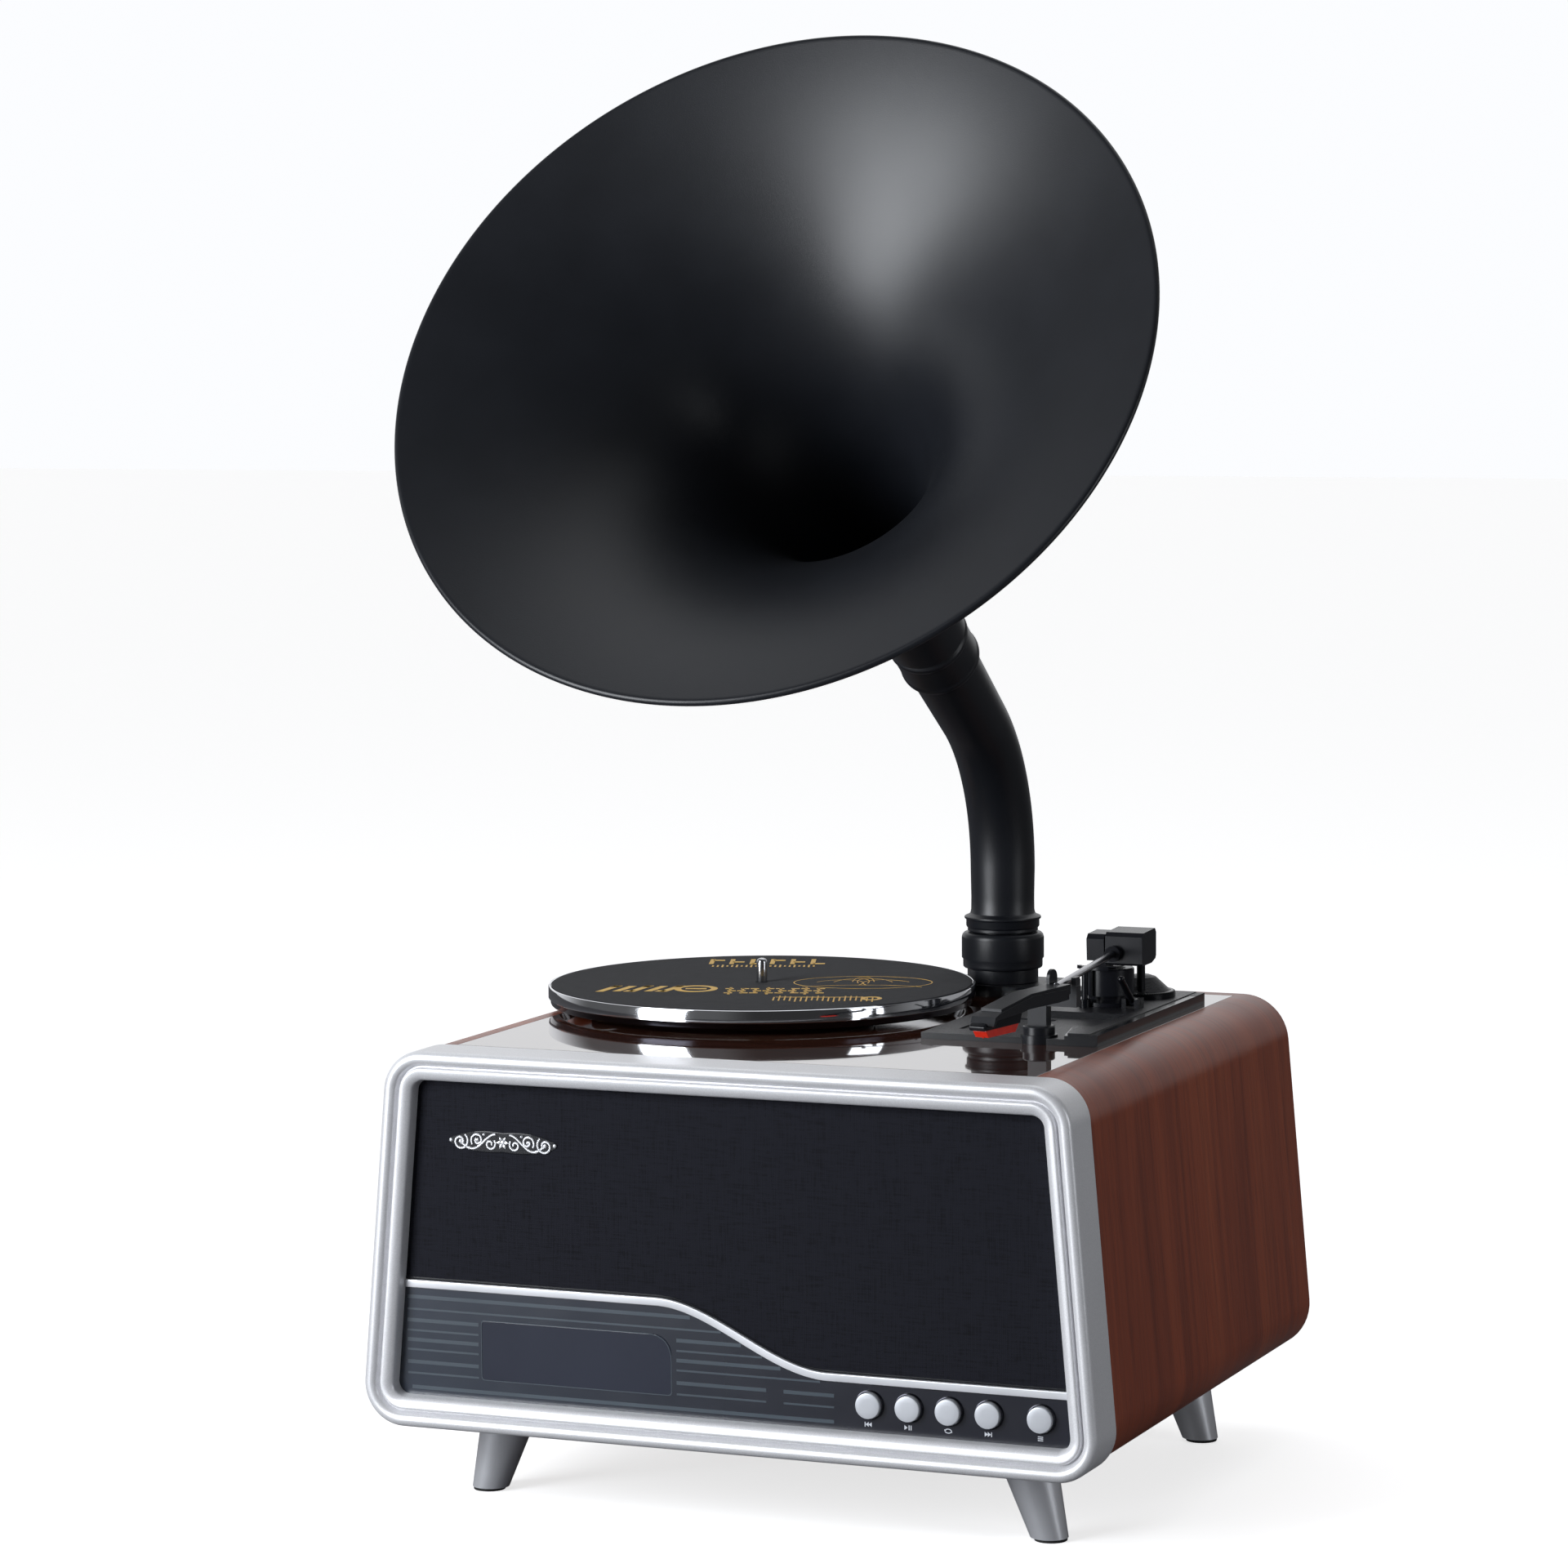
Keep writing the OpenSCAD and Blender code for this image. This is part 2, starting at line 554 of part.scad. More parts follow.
module headshell() color([0.04, 0.04, 0.045]) {
    difference() {
        at_shell() {
            side(8.4, [[1, -8], [1, -1.2], [-46, -0.6], [-88, -6.4], [-93, -8.2], [-96, -13.4], [-95, -14],
                [-90, -10.2], [-60, -9], [-50, -8], [-12, -8.4]]);
            side(7.2, [[5, -5], [5, 1.2], [-46, 1], [-84, -4.2], [-84, -6.2], [-46, -2]]);
            translate([-5.8, -3, 0]) cube([2.2, 10.4, 5.2]);
            translate([-5.8, 2.2, 5.2]) rotate([0, 90, 0]) cylinder(h = 2.2, r = 5.2);
        }
        at_pivot() rod(tube_a, tube_b + 0.01 * (tube_b - tube_a), tube_r + 0.04);
    }
}

module cartridge() color([0.03, 0.03, 0.03]) at_shell() {
    side(5.6, [[-96, -16], [-101.5, -16], [-102.6, -13.4], [-99.4, -10.9], [-96.4, -13.9], [-95, -14.1],
        [-90, -10.25], [-60, -9.05], [-54, -8.5], [-57, -16]]);
}

module stylus() color([0.85, 0.06, 0.03]) at_shell() {
    side(4.6, [[-57.4, -16.05], [-61.5, -20.9], [-95.4, -20.6], [-98.6, -16.6], [-98.6, -16.05]]);
    translate([0, -94, -21.4]) cylinder(h = 1.4, r1 = 0.35, r2 = 1.2);
}

// ---------- horn ----------
module at_horn() deck() translate([horn_x, horn_y, 0]) children();

module at_bell() deck() translate([horn_x, mouth_y, mouth_z]) rotate([90 - horn_tilt, 0, 0]) children();

module horn_socket() color([0.03, 0.03, 0.035]) at_horn() difference() {
    union() {
        translate([0, 0, 7.55]) cylinder(h = 9.4, r = 24.2);
        translate([0, 0, 16.9]) cylinder(h = 22, r = 23);
        translate([0, 0, -12]) cylinder(h = 20, r = 20.5);
    }
    translate([0, 0, -20]) cylinder(h = 90, r = 17.2);
    translate([0, 0, 12]) cylinder(h = 90, r = 20.05);
    translate([0, 0, 12]) rotate([0, 0, 270 - 95]) rotate_extrude(angle = 190) square([21.6, 4.4]);
}

module horn_collar() color([0.035, 0.035, 0.04]) at_horn() difference() {
    union() {
        translate([0, 0, 17.2]) cylinder(h = 1.6, r1 = 26.6, r2 = 28.1);
        translate([0, 0, 18.7]) cylinder(h = 20.8, r = 28.1);
        translate([0, 0, 39.4]) cylinder(h = 2.2, r1 = 28.1, r2 = 25.8);
    }
    translate([0, 0, 0]) cylinder(h = 39.2, r = 23.05);
    translate([0, 0, 30]) cylinder(h = 20, r = 20.5);
}

horn_tilt_c = 90 - horn_tilt;
leg = bend_r * tan(horn_tilt_c / 2);
elbow_z = mouth_z - (horn_y - mouth_y) * tan(horn_tilt);
elbow_s = (horn_y - mouth_y) / cos(horn_tilt);
arc_s = elbow_s - leg;

module elbow() at_horn() translate([0, -bend_r, elbow_z - leg]) rotate([90, 0, 90])
    rotate_extrude(angle = horn_tilt_c) translate([bend_r, 0]) difference() {
        circle(r = 22.4);
        circle(r = 17.2);
    }

module horn_pipe() color([0.035, 0.035, 0.04]) {
    at_horn() {
        rotate_extrude() polygon([[17.4, 12.4], [20, 12.4], [20, 42], [24.2, 42], [24.2, 46.1],
            [25.9, 47.5], [25.9, 52], [22.6, 54.2], [20.8, 54.3], [22.2, elbow_z - leg],
            [17.4, elbow_z - leg]]);
        translate([0, 0, 12.4]) intersection() {
            difference() {
                cylinder(h = 3.4, r = 21.4);
                translate([0, 0, -1]) cylinder(h = 9, r = 19);
            }
            box([-1.5, -30, -1], [1.5, 0, 9]);
        }
    }
    elbow();
    at_bell() rotate_extrude() polygon([[17.4, -arc_s], [22.2, -arc_s], [23.8, -352.1], [22.8, -352.1],
        [22.8, -332], [17.4, -332]]);
}

function flare(s) = 22 + (mouth_r - 22) * exp(-s / 80);

bell_n = 26;
function bell_s(i) = 318 * pow(i / bell_n, 1.5);

module horn_bell() color([0.03, 0.03, 0.035]) at_bell() {
    rotate_extrude($fn = 160) polygon(concat(
        [for (i = [0:bell_n]) [flare(bell_s(i)) - (i == 0 ? 0 : bell_t / 2),
            -bell_s(i) - (i == 0 ? bell_t * 0.3 : 0)]],
        [[22.95, -329], [22.95, -352], [26.6, -352], [27, -350], [27, -322]],
        [for (i = [bell_n:-1:0]) [flare(bell_s(i)) + bell_t * (i < 8 ? 0.35 : 0.6),
            -bell_s(i) - bell_t * (i < 8 ? 1.0 : 0.2)]]));
    translate([0, 0, -0.6]) rotate_extrude($fn = 160) translate([mouth_r, 0]) circle(r = 2.6, $fn = 24);
}

module horn_driver() color([0.15, 0.15, 0.16]) at_horn() difference() {
    union() {
        translate([0, 0, -17]) cylinder(h = 4.9, r = 34);
        translate([0, 0, -60]) cylinder(h = 43.1, r = 30);
    }
    translate([0, 0, -34]) cylinder(h = 60, r1 = 12, r2 = 24);
}

cabinet_shell();
front_bezel();
baffle_board();
grille_panel();
trim_strip();
control_panel();
display_window();
display_module();
badge_plaque();
control_board();
button_rings();
button_previous();
button_play();
button_repeat();
button_next();
button_mode();
speaker_left();
speaker_right();
back_panel();
back_screws();
connector_plate();
power_inlet();
line_jacks();
aux_jack();
usb_port();
power_switch();
main_board();
power_supply();
foot_front_left();
foot_front_right();
foot_rear_left();
foot_rear_right();
foot_pads();
deck_panel();
platter();
platter_mat();
spindle();
sub_platter();
bearing_sleeve();
motor();
motor_pulley();
drive_belt();
console_plate();
rest_post();
pivot_base();
cue_lever();
cue_lift();
gimbal_bracket();
gimbal_pin();
arm_housing();
arm_tube();
headshell();
cartridge();
stylus();
horn_socket();
horn_collar();
horn_pipe();
horn_bell();
horn_driver();
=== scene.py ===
"""Looks of the horn record player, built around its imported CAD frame.

Outlines are in millimetres in the player's own axes: x across the front from its middle,
y back from the front face, z up from the underside of the cabinet. PLACE turns them into
the frame's metres.
"""

import json
import math

import bmesh
import bpy
from mathutils import Matrix, Vector

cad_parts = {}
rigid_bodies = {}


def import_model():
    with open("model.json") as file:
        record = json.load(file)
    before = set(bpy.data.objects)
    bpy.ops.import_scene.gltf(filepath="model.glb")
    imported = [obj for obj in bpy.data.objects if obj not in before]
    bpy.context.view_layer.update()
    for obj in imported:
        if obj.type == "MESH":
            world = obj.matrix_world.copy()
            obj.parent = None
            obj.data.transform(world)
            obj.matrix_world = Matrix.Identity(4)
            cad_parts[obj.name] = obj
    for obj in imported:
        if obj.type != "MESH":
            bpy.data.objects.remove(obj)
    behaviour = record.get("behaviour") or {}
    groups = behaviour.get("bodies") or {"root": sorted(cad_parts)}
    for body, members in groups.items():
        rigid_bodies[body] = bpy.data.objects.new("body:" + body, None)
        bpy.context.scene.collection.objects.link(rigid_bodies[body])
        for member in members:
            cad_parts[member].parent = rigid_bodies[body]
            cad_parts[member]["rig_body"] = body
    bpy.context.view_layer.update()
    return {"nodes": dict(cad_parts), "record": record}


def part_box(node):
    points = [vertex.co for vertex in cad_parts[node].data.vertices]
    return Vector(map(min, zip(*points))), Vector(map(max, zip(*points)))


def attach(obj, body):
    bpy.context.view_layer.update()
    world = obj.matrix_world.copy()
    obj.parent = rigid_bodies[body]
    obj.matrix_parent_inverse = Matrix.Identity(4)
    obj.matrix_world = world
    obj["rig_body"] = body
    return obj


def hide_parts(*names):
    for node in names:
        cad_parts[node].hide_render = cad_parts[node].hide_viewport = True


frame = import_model()

# ---------------------------------------------------------------- places, from the frame
MM = 0.001
TURN = 2 * math.pi
front_low, front_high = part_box("front_bezel")
ORIGIN = Vector(((front_low.x + front_high.x) / 2, front_low.y, front_low.z))
PLACE = Matrix.Translation(ORIGIN) @ Matrix.Scale(MM, 4)
UP = Matrix.Identity(4)


def span(node):
    """Lowest and highest corner of a CAD node, in the player's millimetres."""
    return [(corner - ORIGIN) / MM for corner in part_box(node)]


def middle(node):
    low, high = span(node)
    return (low + high) / 2


TOP = span("deck_panel")[1].z
BEZEL_DEPTH = span("front_bezel")[1].y
PLATTER = middle("platter").xy
PLATTER_R = (span("platter")[1].x - span("platter")[0].x) / 2
HORN = middle("horn_socket").xy
DOME = Vector((157, 352))  # on the console, behind the tonearm
DOME_POST = Vector((161.5, 337))
PANEL_Y = span("grille_panel")[0].y
BUTTONS = {key: middle("button_" + key) for key in ("previous", "play", "repeat", "next", "mode")}
BUTTON_R = (span("button_play")[1].z - span("button_play")[0].z) / 2 - 1.2

# ---------------------------------------------------------------- camera
EYE = Vector((1232.92, -2826.24, 700.65))
YAW = math.radians(22.608)
PITCH = math.radians(5.235)
ROLL = math.radians(-0.337)


def add_camera():
    data = bpy.data.cameras.new("camera")
    data.lens = 116.07
    data.sensor_width = 36
    data.shift_x = -0.00904
    data.shift_y = -0.00065
    data.clip_start = 0.05
    data.clip_end = 100
    camera = bpy.data.objects.new("camera", data)
    forward = Vector((-math.sin(YAW) * math.cos(PITCH), math.cos(YAW) * math.cos(PITCH), -math.sin(PITCH)))
    right = Vector((math.cos(YAW), math.sin(YAW), 0))
    above = right.cross(forward)
    rolled = right * math.cos(ROLL) + above * math.sin(ROLL)
    turned = above * math.cos(ROLL) - right * math.sin(ROLL)
    axes = Matrix((rolled, turned, -forward)).transposed().to_4x4()
    camera.matrix_world = Matrix.Translation(PLACE @ EYE) @ axes
    bpy.context.scene.collection.objects.link(camera)
    bpy.context.scene.camera = camera


add_camera()


# ---------------------------------------------------------------- materials
class Look:
    """A material with a Principled shader and short ways to add nodes."""

    def __init__(self, name, colour, roughness, **sockets):
        self.material = bpy.data.materials.new(name)
        self.material.use_nodes = True
        self.nodes = self.material.node_tree.nodes
        self.links = self.material.node_tree.links
        self.shader = self.nodes["Principled BSDF"]
        self.shader.inputs["Base Color"].default_value = (*colour, 1)
        self.shader.inputs["Roughness"].default_value = roughness
        for socket, value in sockets.items():
            self.shader.inputs[socket.replace("_", " ")].default_value = value
        self.colour = colour
        self.place = self.node("ShaderNodeTexCoord").outputs["Object"]

    def node(self, kind, links=None, values=None, **settings):
        made = self.nodes.new(kind)
        for key, value in settings.items():
            setattr(made, key, value)
        for key, value in (values or {}).items():
            made.inputs[key].default_value = value
        for key, source in (links or {}).items():
            self.links.new(source, made.inputs[key])
        return made

    def stretched(self, scale):
        """Object coordinates, scaled along each axis."""
        return self.node("ShaderNodeMapping", {"Vector": self.place}, {"Scale": scale}).outputs[0]

    def noise(self, scale, detail=3.0, roughness=0.5, distortion=0.0, vector=None):
        if vector is None:
            vector = self.stretched(scale if isinstance(scale, tuple) else (scale,) * 3)
        values = {"Scale": 1.0, "Detail": detail, "Roughness": roughness, "Distortion": distortion}
        return self.node("ShaderNodeTexNoise", {"Vector": vector}, values).outputs["Fac"]

    def cells(self, scale, output="Distance"):
        return self.node("ShaderNodeTexVoronoi", {"Vector": self.place}, {"Scale": scale}).outputs[output]

    def spread(self, source, low, high, start=0.0, end=1.0):
        """Maps a 0..1 value to low..high."""
        values = {"From Min": start, "From Max": end, "To Min": low, "To Max": high}
        return self.node("ShaderNodeMapRange", {"Value": source}, values).outputs[0]

    def ramp(self, source, *stops):
        made = self.node("ShaderNodeValToRGB", {"Fac": source})
        bar = made.color_ramp.elements
        while len(bar) < len(stops):
            bar.new(0.5)
        for element, (position, colour) in zip(bar, stops):
            element.position = position
            element.color = (*colour, 1)
        return made.outputs["Color"]

    def tint(self, source, share):
        """The base colour, darker and lighter by share as source goes from 0 to 1."""
        dark = [c * (1 - share) for c in self.colour]
        light = [min(1, c * (1 + share)) for c in self.colour]
        return self.ramp(source, (0.25, dark), (0.75, light))

    def feed(self, socket, source):
        self.links.new(source, self.shader.inputs[socket])

    def bump(self, height, distance, strength=1.0, before=None):
        links = {"Height": height}
        if before is not None:
            links["Normal"] = before
        made = self.node("ShaderNodeBump", links, {"Strength": strength, "Distance": distance})
        return made.outputs["Normal"]


def moulded(name, colour, roughness, grain=2200, depth=0.00003, **sockets):
    """Moulded or painted surface: faint colour drift, uneven sheen and a fine grain."""
    look = Look(name, colour, roughness, **sockets)
    drift = look.noise(14.0, 4)
    look.feed("Base Color", look.tint(drift, 0.10))
    look.feed("Roughness", look.spread(look.noise(60.0, 5), roughness * 0.85, roughness * 1.18))
    look.feed("Normal", look.bump(look.noise(float(grain), 2), depth))
    return look.material


def turned_metal(name, colour, roughness, grain=(40, 40, 4000), depth=0.00001, **sockets):
    """Machined or brushed metal, with fine lines across one axis."""
    look = Look(name, colour, roughness, Metallic=1.0, **sockets)
    lines = look.noise(tuple(float(g) for g in grain), 3)
    look.feed("Base Color", look.tint(look.noise(9.0, 3), 0.06))
    look.feed("Roughness", look.spread(lines, roughness * 0.75, roughness * 1.3))
    look.feed("Normal", look.bump(lines, depth))
    return look.material


def silver_paint():
    look = Look("silver_paint", (0.80, 0.80, 0.82), 0.38, Metallic=0.35, Specular_IOR_Level=0.4)
    flakes = look.cells(2600.0, output="Color")
    level = look.node("ShaderNodeSeparateColor", {"Color": flakes}).outputs[0]
    look.feed("Base Color", look.tint(level, 0.05))
    look.feed("Roughness", look.spread(look.noise(45.0, 4), 0.34, 0.42))
    look.feed("Normal", look.bump(look.noise(3000.0, 2), 0.000012))
    return look.material


def veneer():
    """Reddish veneer. The grain runs round the cabinet: up the sides and across the top."""
    look = Look("wood_veneer", (0.17, 0.043, 0.019), 0.32, Specular_IOR_Level=0.3)
    parts = look.node("ShaderNodeSeparateXYZ", {"Vector": look.place})
    middle_x = look.node("ShaderNodeMath", {0: parts.outputs[0]}, {1: -ORIGIN.x}, operation="ADD").outputs[0]
    across = look.node("ShaderNodeMath", {0: middle_x}, operation="ABSOLUTE").outputs[0]
    along = look.node("ShaderNodeMath", {0: parts.outputs[2], 1: across}, operation="SUBTRACT").outputs[0]
    flow = look.node("ShaderNodeCombineXYZ", {0: parts.outputs[1], 1: along, 2: middle_x}).outputs[0]

    def grain(scale_y, scale_along, detail, distortion=0.0):
        scaled = look.node("ShaderNodeMapping", {"Vector": flow}, {"Scale": (scale_y, scale_along, 3.0)})
        return look.noise(None, detail, 0.55, distortion, vector=scaled.outputs[0])

    bands = grain(16.0, 0.9, 3, 0.6)
    streaks = grain(150.0, 3.2, 5, 0.3)
    pores = grain(900.0, 22.0, 2)
    body = look.ramp(bands, (0.30, (0.185, 0.033, 0.011)), (0.52, (0.285, 0.056, 0.018)),
                     (0.72, (0.370, 0.082, 0.027)))
    fine = look.ramp(streaks, (0.30, (0.72, 0.66, 0.64)), (0.48, (0.97, 0.96, 0.95)),
                     (0.70, (1.12, 1.10, 1.06)))
    dots = look.ramp(pores, (0.34, (0.5, 0.45, 0.42)), (0.44, (1, 1, 1)))
    mixed = look.node("ShaderNodeMix", {6: body, 7: fine}, {0: 1.0}, data_type="RGBA", blend_type="MULTIPLY")
    whole = look.node("ShaderNodeMix", {6: mixed.outputs[2], 7: dots}, {0: 0.55}, data_type="RGBA",
                      blend_type="MULTIPLY")
    look.feed("Base Color", whole.outputs[2])
    look.feed("Roughness", look.spread(streaks, 0.25, 0.38))
    look.feed("Normal", look.bump(pores, 0.00004, before=look.bump(streaks, 0.00006)))
    return look.material


def deck_gloss():
    look = Look("deck_gloss", (0.075, 0.026, 0.016), 0.05, Coat_Weight=1.0, Coat_Roughness=0.02, IOR=1.52)
    look.feed("Base Color", look.tint(look.noise((6.0, 130.0, 6.0), 5), 0.38))
    look.feed("Roughness", look.spread(look.noise(35.0, 4), 0.03, 0.07))
    look.feed("Normal", look.bump(look.noise(9.0, 2), 0.00010))
    return look.material


def cloth():
    """Fine plain weave of dark thread."""
    look = Look("grille_cloth", (0.008, 0.0085, 0.013), 0.9, Specular_IOR_Level=0.25)
    warp = look.node("ShaderNodeTexWave", {"Vector": look.place}, {"Scale": 250.0}, bands_direction="X")
    weft = look.node("ShaderNodeTexWave", {"Vector": look.place}, {"Scale": 250.0}, bands_direction="Z")
    slub = look.noise((60.0, 1.0, 900.0), 4)
    lump = look.noise((900.0, 1.0, 60.0), 4)
    weave = look.node("ShaderNodeMath", {0: warp.outputs["Fac"], 1: weft.outputs["Fac"]},
                      operation="MULTIPLY")
    threads = look.node("ShaderNodeMath", {0: slub, 1: lump}, operation="ADD").outputs[0]
    look.feed("Base Color", look.ramp(threads, (0.75, (0.0038, 0.004, 0.0068)),
                                      (1.25, (0.0088, 0.0093, 0.0148))))
    look.feed("Normal", look.bump(weave.outputs[0], 0.00012, before=look.bump(threads, 0.00005)))
    return look.material


def felt():
    look = Look("mat_felt", (0.012, 0.012, 0.015), 0.95, Specular_IOR_Level=0.15, Sheen_Weight=0.06,
                Sheen_Roughness=0.6)
    fuzz = look.noise(1500.0, 4, 0.7)
    patches = look.noise(120.0, 5, 0.65)
    look.feed("Base Color", look.tint(patches, 0.45))
    look.feed("Normal", look.bump(fuzz, 0.00035, before=look.bump(patches, 0.00025)))
    return look.material


def panel_gloss():
    """Dark blue printed panel, with painted light: its colour is a little lighter towards the left end, as if
    lit from that side.
    """
    look = Look("panel_gloss", (0.018, 0.022, 0.034), 0.24, Coat_Weight=0.5, Coat_Roughness=0.12)
    # painted light: the base colour ramps from lighter at the left end to darker at the right, standing in
    # for the light falling from the left
    left = look.node("ShaderNodeSeparateXYZ", {"Vector": look.place}).outputs[0]
    fade = look.spread(left, 0.0, 1.0, ORIGIN.x - 0.23, ORIGIN.x + 0.10)
    look.feed("Base Color", look.ramp(fade, (0.0, (0.024, 0.032, 0.048)), (1.0, (0.0125, 0.0135, 0.021))))
    look.feed("Roughness", look.spread(look.noise(50.0, 5), 0.2, 0.3))
    look.feed("Normal", look.bump(look.noise(1400.0, 2), 0.00001))
    return look.material


def powder_coat():
    """Satin black powder coat with a very fine orange peel."""
    look = Look("horn_coat", (0.0080, 0.0092, 0.0125), 0.37, IOR=1.5)
    peel = look.noise(1300.0, 3, 0.6)
    mottle = look.noise(24.0, 4)
    look.feed("Base Color", look.tint(mottle, 0.12))
    look.feed("Roughness", look.spread(mottle, 0.35, 0.40))
    look.feed("Normal", look.bump(peel, 0.00006, 0.8))
    return look.material


def speckled_plastic():
    """Black moulded plastic with a coarse spark-eroded texture."""
    look = Look("textured_plastic", (0.012, 0.012, 0.015), 0.36, Specular_IOR_Level=0.28)
    pits = look.cells(1150.0)
    drift = look.noise(700.0, 3)
    look.feed("Base Color", look.tint(drift, 0.35))
    look.feed("Roughness", look.spread(pits, 0.22, 0.45, 0.1, 0.8))
    look.feed("Normal", look.bump(pits, 0.00022, 0.9, before=look.bump(drift, 0.00012)))
    return look.material


def chrome(name, colour=(0.80, 0.81, 0.84), roughness=0.06):
    look = Look(name, colour, roughness, Metallic=1.0)
    look.feed("Roughness", look.spread(look.noise(70.0, 5), roughness * 0.7, roughness * 1.6))
    look.feed("Normal", look.bump(look.noise(18.0, 3), 0.00004))
    return look.material


def red_plastic():
    look = Look("stylus_red", (0.85, 0.035, 0.015), 0.22, Subsurface_Weight=0.25, Coat_Weight=0.6)
    look.shader.inputs["Subsurface Radius"].default_value = (0.004, 0.001, 0.001)
    look.feed("Base Color", look.tint(look.noise(120.0, 3), 0.12))
    look.feed("Normal", look.bump(look.noise(900.0, 2), 0.00002))
    return look.material


def circuit():
    look = Look("circuit_board", (0.02, 0.12, 0.05), 0.4, Coat_Weight=0.3)
    tracks = look.node("ShaderNodeTexBrick", {"Vector": look.stretched((300.0, 1.0, 300.0))},
                       {"Scale": 1.0, "Mortar Size": 0.04, "Color1": (0.02, 0.12, 0.05, 1),
                        "Color2": (0.015, 0.09, 0.04, 1), "Mortar": (0.05, 0.22, 0.09, 1)})
    look.feed("Base Color", tracks.outputs["Color"])
    return look.material


def fibreboard():
    look = Look("fibreboard", (0.30, 0.20, 0.11), 0.85)
    fibres = look.noise((240.0, 90.0, 500.0), 6, 0.65)
    look.feed("Base Color", look.tint(fibres, 0.3))
    look.feed("Normal", look.bump(fibres, 0.0002))
    return look.material


def gold_print():
    look = Look("gold_print", (0.72, 0.42, 0.03), 0.5, Metallic=0.1)
    worn = look.noise(1900.0, 4, 0.7)
    look.feed("Base Color", look.ramp(worn, (0.30, (0.26, 0.14, 0.015)), (0.46, (0.78, 0.45, 0.025))))
    look.feed("Normal", look.bump(worn, 0.0002))
    return look.material


SILVER = silver_paint()
VENEER = veneer()
DECK = deck_gloss()
CLOTH = cloth()
FELT = felt()
PANEL = panel_gloss()
COAT = powder_coat()
SPECKLE = speckled_plastic()
CHROME = chrome("chrome")
DARK_CHROME = chrome("dark_chrome", (0.07, 0.07, 0.085), 0.12)
RED = red_plastic()
BOARD = circuit()
FIBRE = fibreboard()
GOLD = gold_print()
BLACK = moulded("black_plastic", (0.009, 0.0095, 0.0125), 0.25, Specular_IOR_Level=0.24)
GLOSS_BLACK = moulded("gloss_black", (0.006, 0.0065, 0.0085), 0.18, depth=0.00001, Specular_IOR_Level=0.28)
SATIN_BLACK = moulded("satin_black", (0.010, 0.011, 0.014), 0.33, Specular_IOR_Level=0.34)
MATTE_BLACK = moulded("matte_black", (0.02, 0.02, 0.021), 0.7, grain=1200, depth=0.0001)
RUBBER = moulded("rubber", (0.017, 0.017, 0.017), 0.85, grain=1600, depth=0.00008)
WINDOW = moulded("window_lens", (0.025, 0.029, 0.045), 0.12, depth=0.000004, Coat_Weight=0.8)
STRIPE = moulded("stripe_print", (0.050, 0.068, 0.086), 0.34, grain=3000, depth=0.00001)
ICON = moulded("icon_print", (0.62, 0.64, 0.68), 0.4)
CAP = moulded("button_silver", (0.66, 0.68, 0.72), 0.33, grain=3200, depth=0.000008, Metallic=0.35)
TRIM = moulded("bright_trim", (0.78, 0.79, 0.82), 0.34, grain=3200, depth=0.000008, Metallic=0.35)
BADGE = moulded("badge_silver", (0.84, 0.85, 0.88), 0.22, Metallic=0.6)
STEEL = turned_metal("steel", (0.58, 0.58, 0.60), 0.18)
TUBE = turned_metal("tube_steel", (0.36, 0.36, 0.38), 0.20, grain=(1500, 40, 1500))
BRASS = turned_metal("brass", (0.66, 0.47, 0.19), 0.26)
FOOT = moulded("foot_silver", (0.80, 0.81, 0.84), 0.33, grain=2400, depth=0.00001, Metallic=0.62,
               Coat_Weight=0.2)
MOTOR = turned_metal("motor_case", (0.42, 0.43, 0.45), 0.36)
IVORY = moulded("ivory_plastic", (0.62, 0.60, 0.52), 0.45)
PAPER = moulded("paper_cone", (0.03, 0.03, 0.032), 0.9, grain=900, depth=0.0002)
SUPPLY = moulded("supply_case", (0.24, 0.24, 0.26), 0.45)


# ---------------------------------------------------------------- mesh helpers
def soften(points, reach, steps=4, closed=True):
    """Rounds the corners of an outline. reach is one length, or one for each point."""
    made = []
    count = len(points)
    for i, point in enumerate(points):
        here = Vector(point)
        cut = reach[i] if isinstance(reach, (list, tuple)) else reach
        if cut == 0 or (not closed and i in (0, count - 1)):
            made.append(here)
            continue
        back = Vector(points[i - 1]) - here
        ahead = Vector(points[(i + 1) % count]) - here
        start = here + back.normalized() * min(cut, 0.45 * back.length)
        end = here + ahead.normalized() * min(cut, 0.45 * ahead.length)
        for k in range(steps + 1):
            t = k / steps
            made.append(start * (1 - t) ** 2 + here * 2 * t * (1 - t) + end * t * t)
    return made


def bridge(mesh, one, two):
    """Faces between two rings. A ring of one vertex is a tip."""
    if len(one) == 1 and len(two) == 1:
        return
    count = max(len(one), len(two))
    for i in range(count):
        j = (i + 1) % count
        corners = [one[i % len(one)], one[j % len(one)], two[j % len(two)], two[i % len(two)]]
        mesh.faces.new(list(dict.fromkeys(corners)))


def ring(mesh, points, where=UP):
    return [mesh.verts.new(where @ Vector(point)) for point in points]


def loft(mesh, rings, where=UP, loop=False, caps=False):
    """Faces through a row of rings, closed by a loop back to the first or by caps."""
    made = [ring(mesh, points, where) for points in rings]
    for one, two in zip(made, made[1:] + (made[:1] if loop else [])):
        bridge(mesh, one, two)
    if caps:
        mesh.faces.new(made[0])
        mesh.faces.new(made[-1])


def lathe(mesh, profile, where=UP, steps=96, loop=True):
    """Turns a profile of (radius, height) points about the z axis of where."""
    rows = []
    for radius, height in profile:
        if radius < 1e-4:
            rows.append([(0, 0, height)])
        else:
            angles = [TURN * k / steps for k in range(steps)]
            rows.append([(radius * math.cos(a), radius * math.sin(a), height) for a in angles])
    loft(mesh, rows, where, loop)


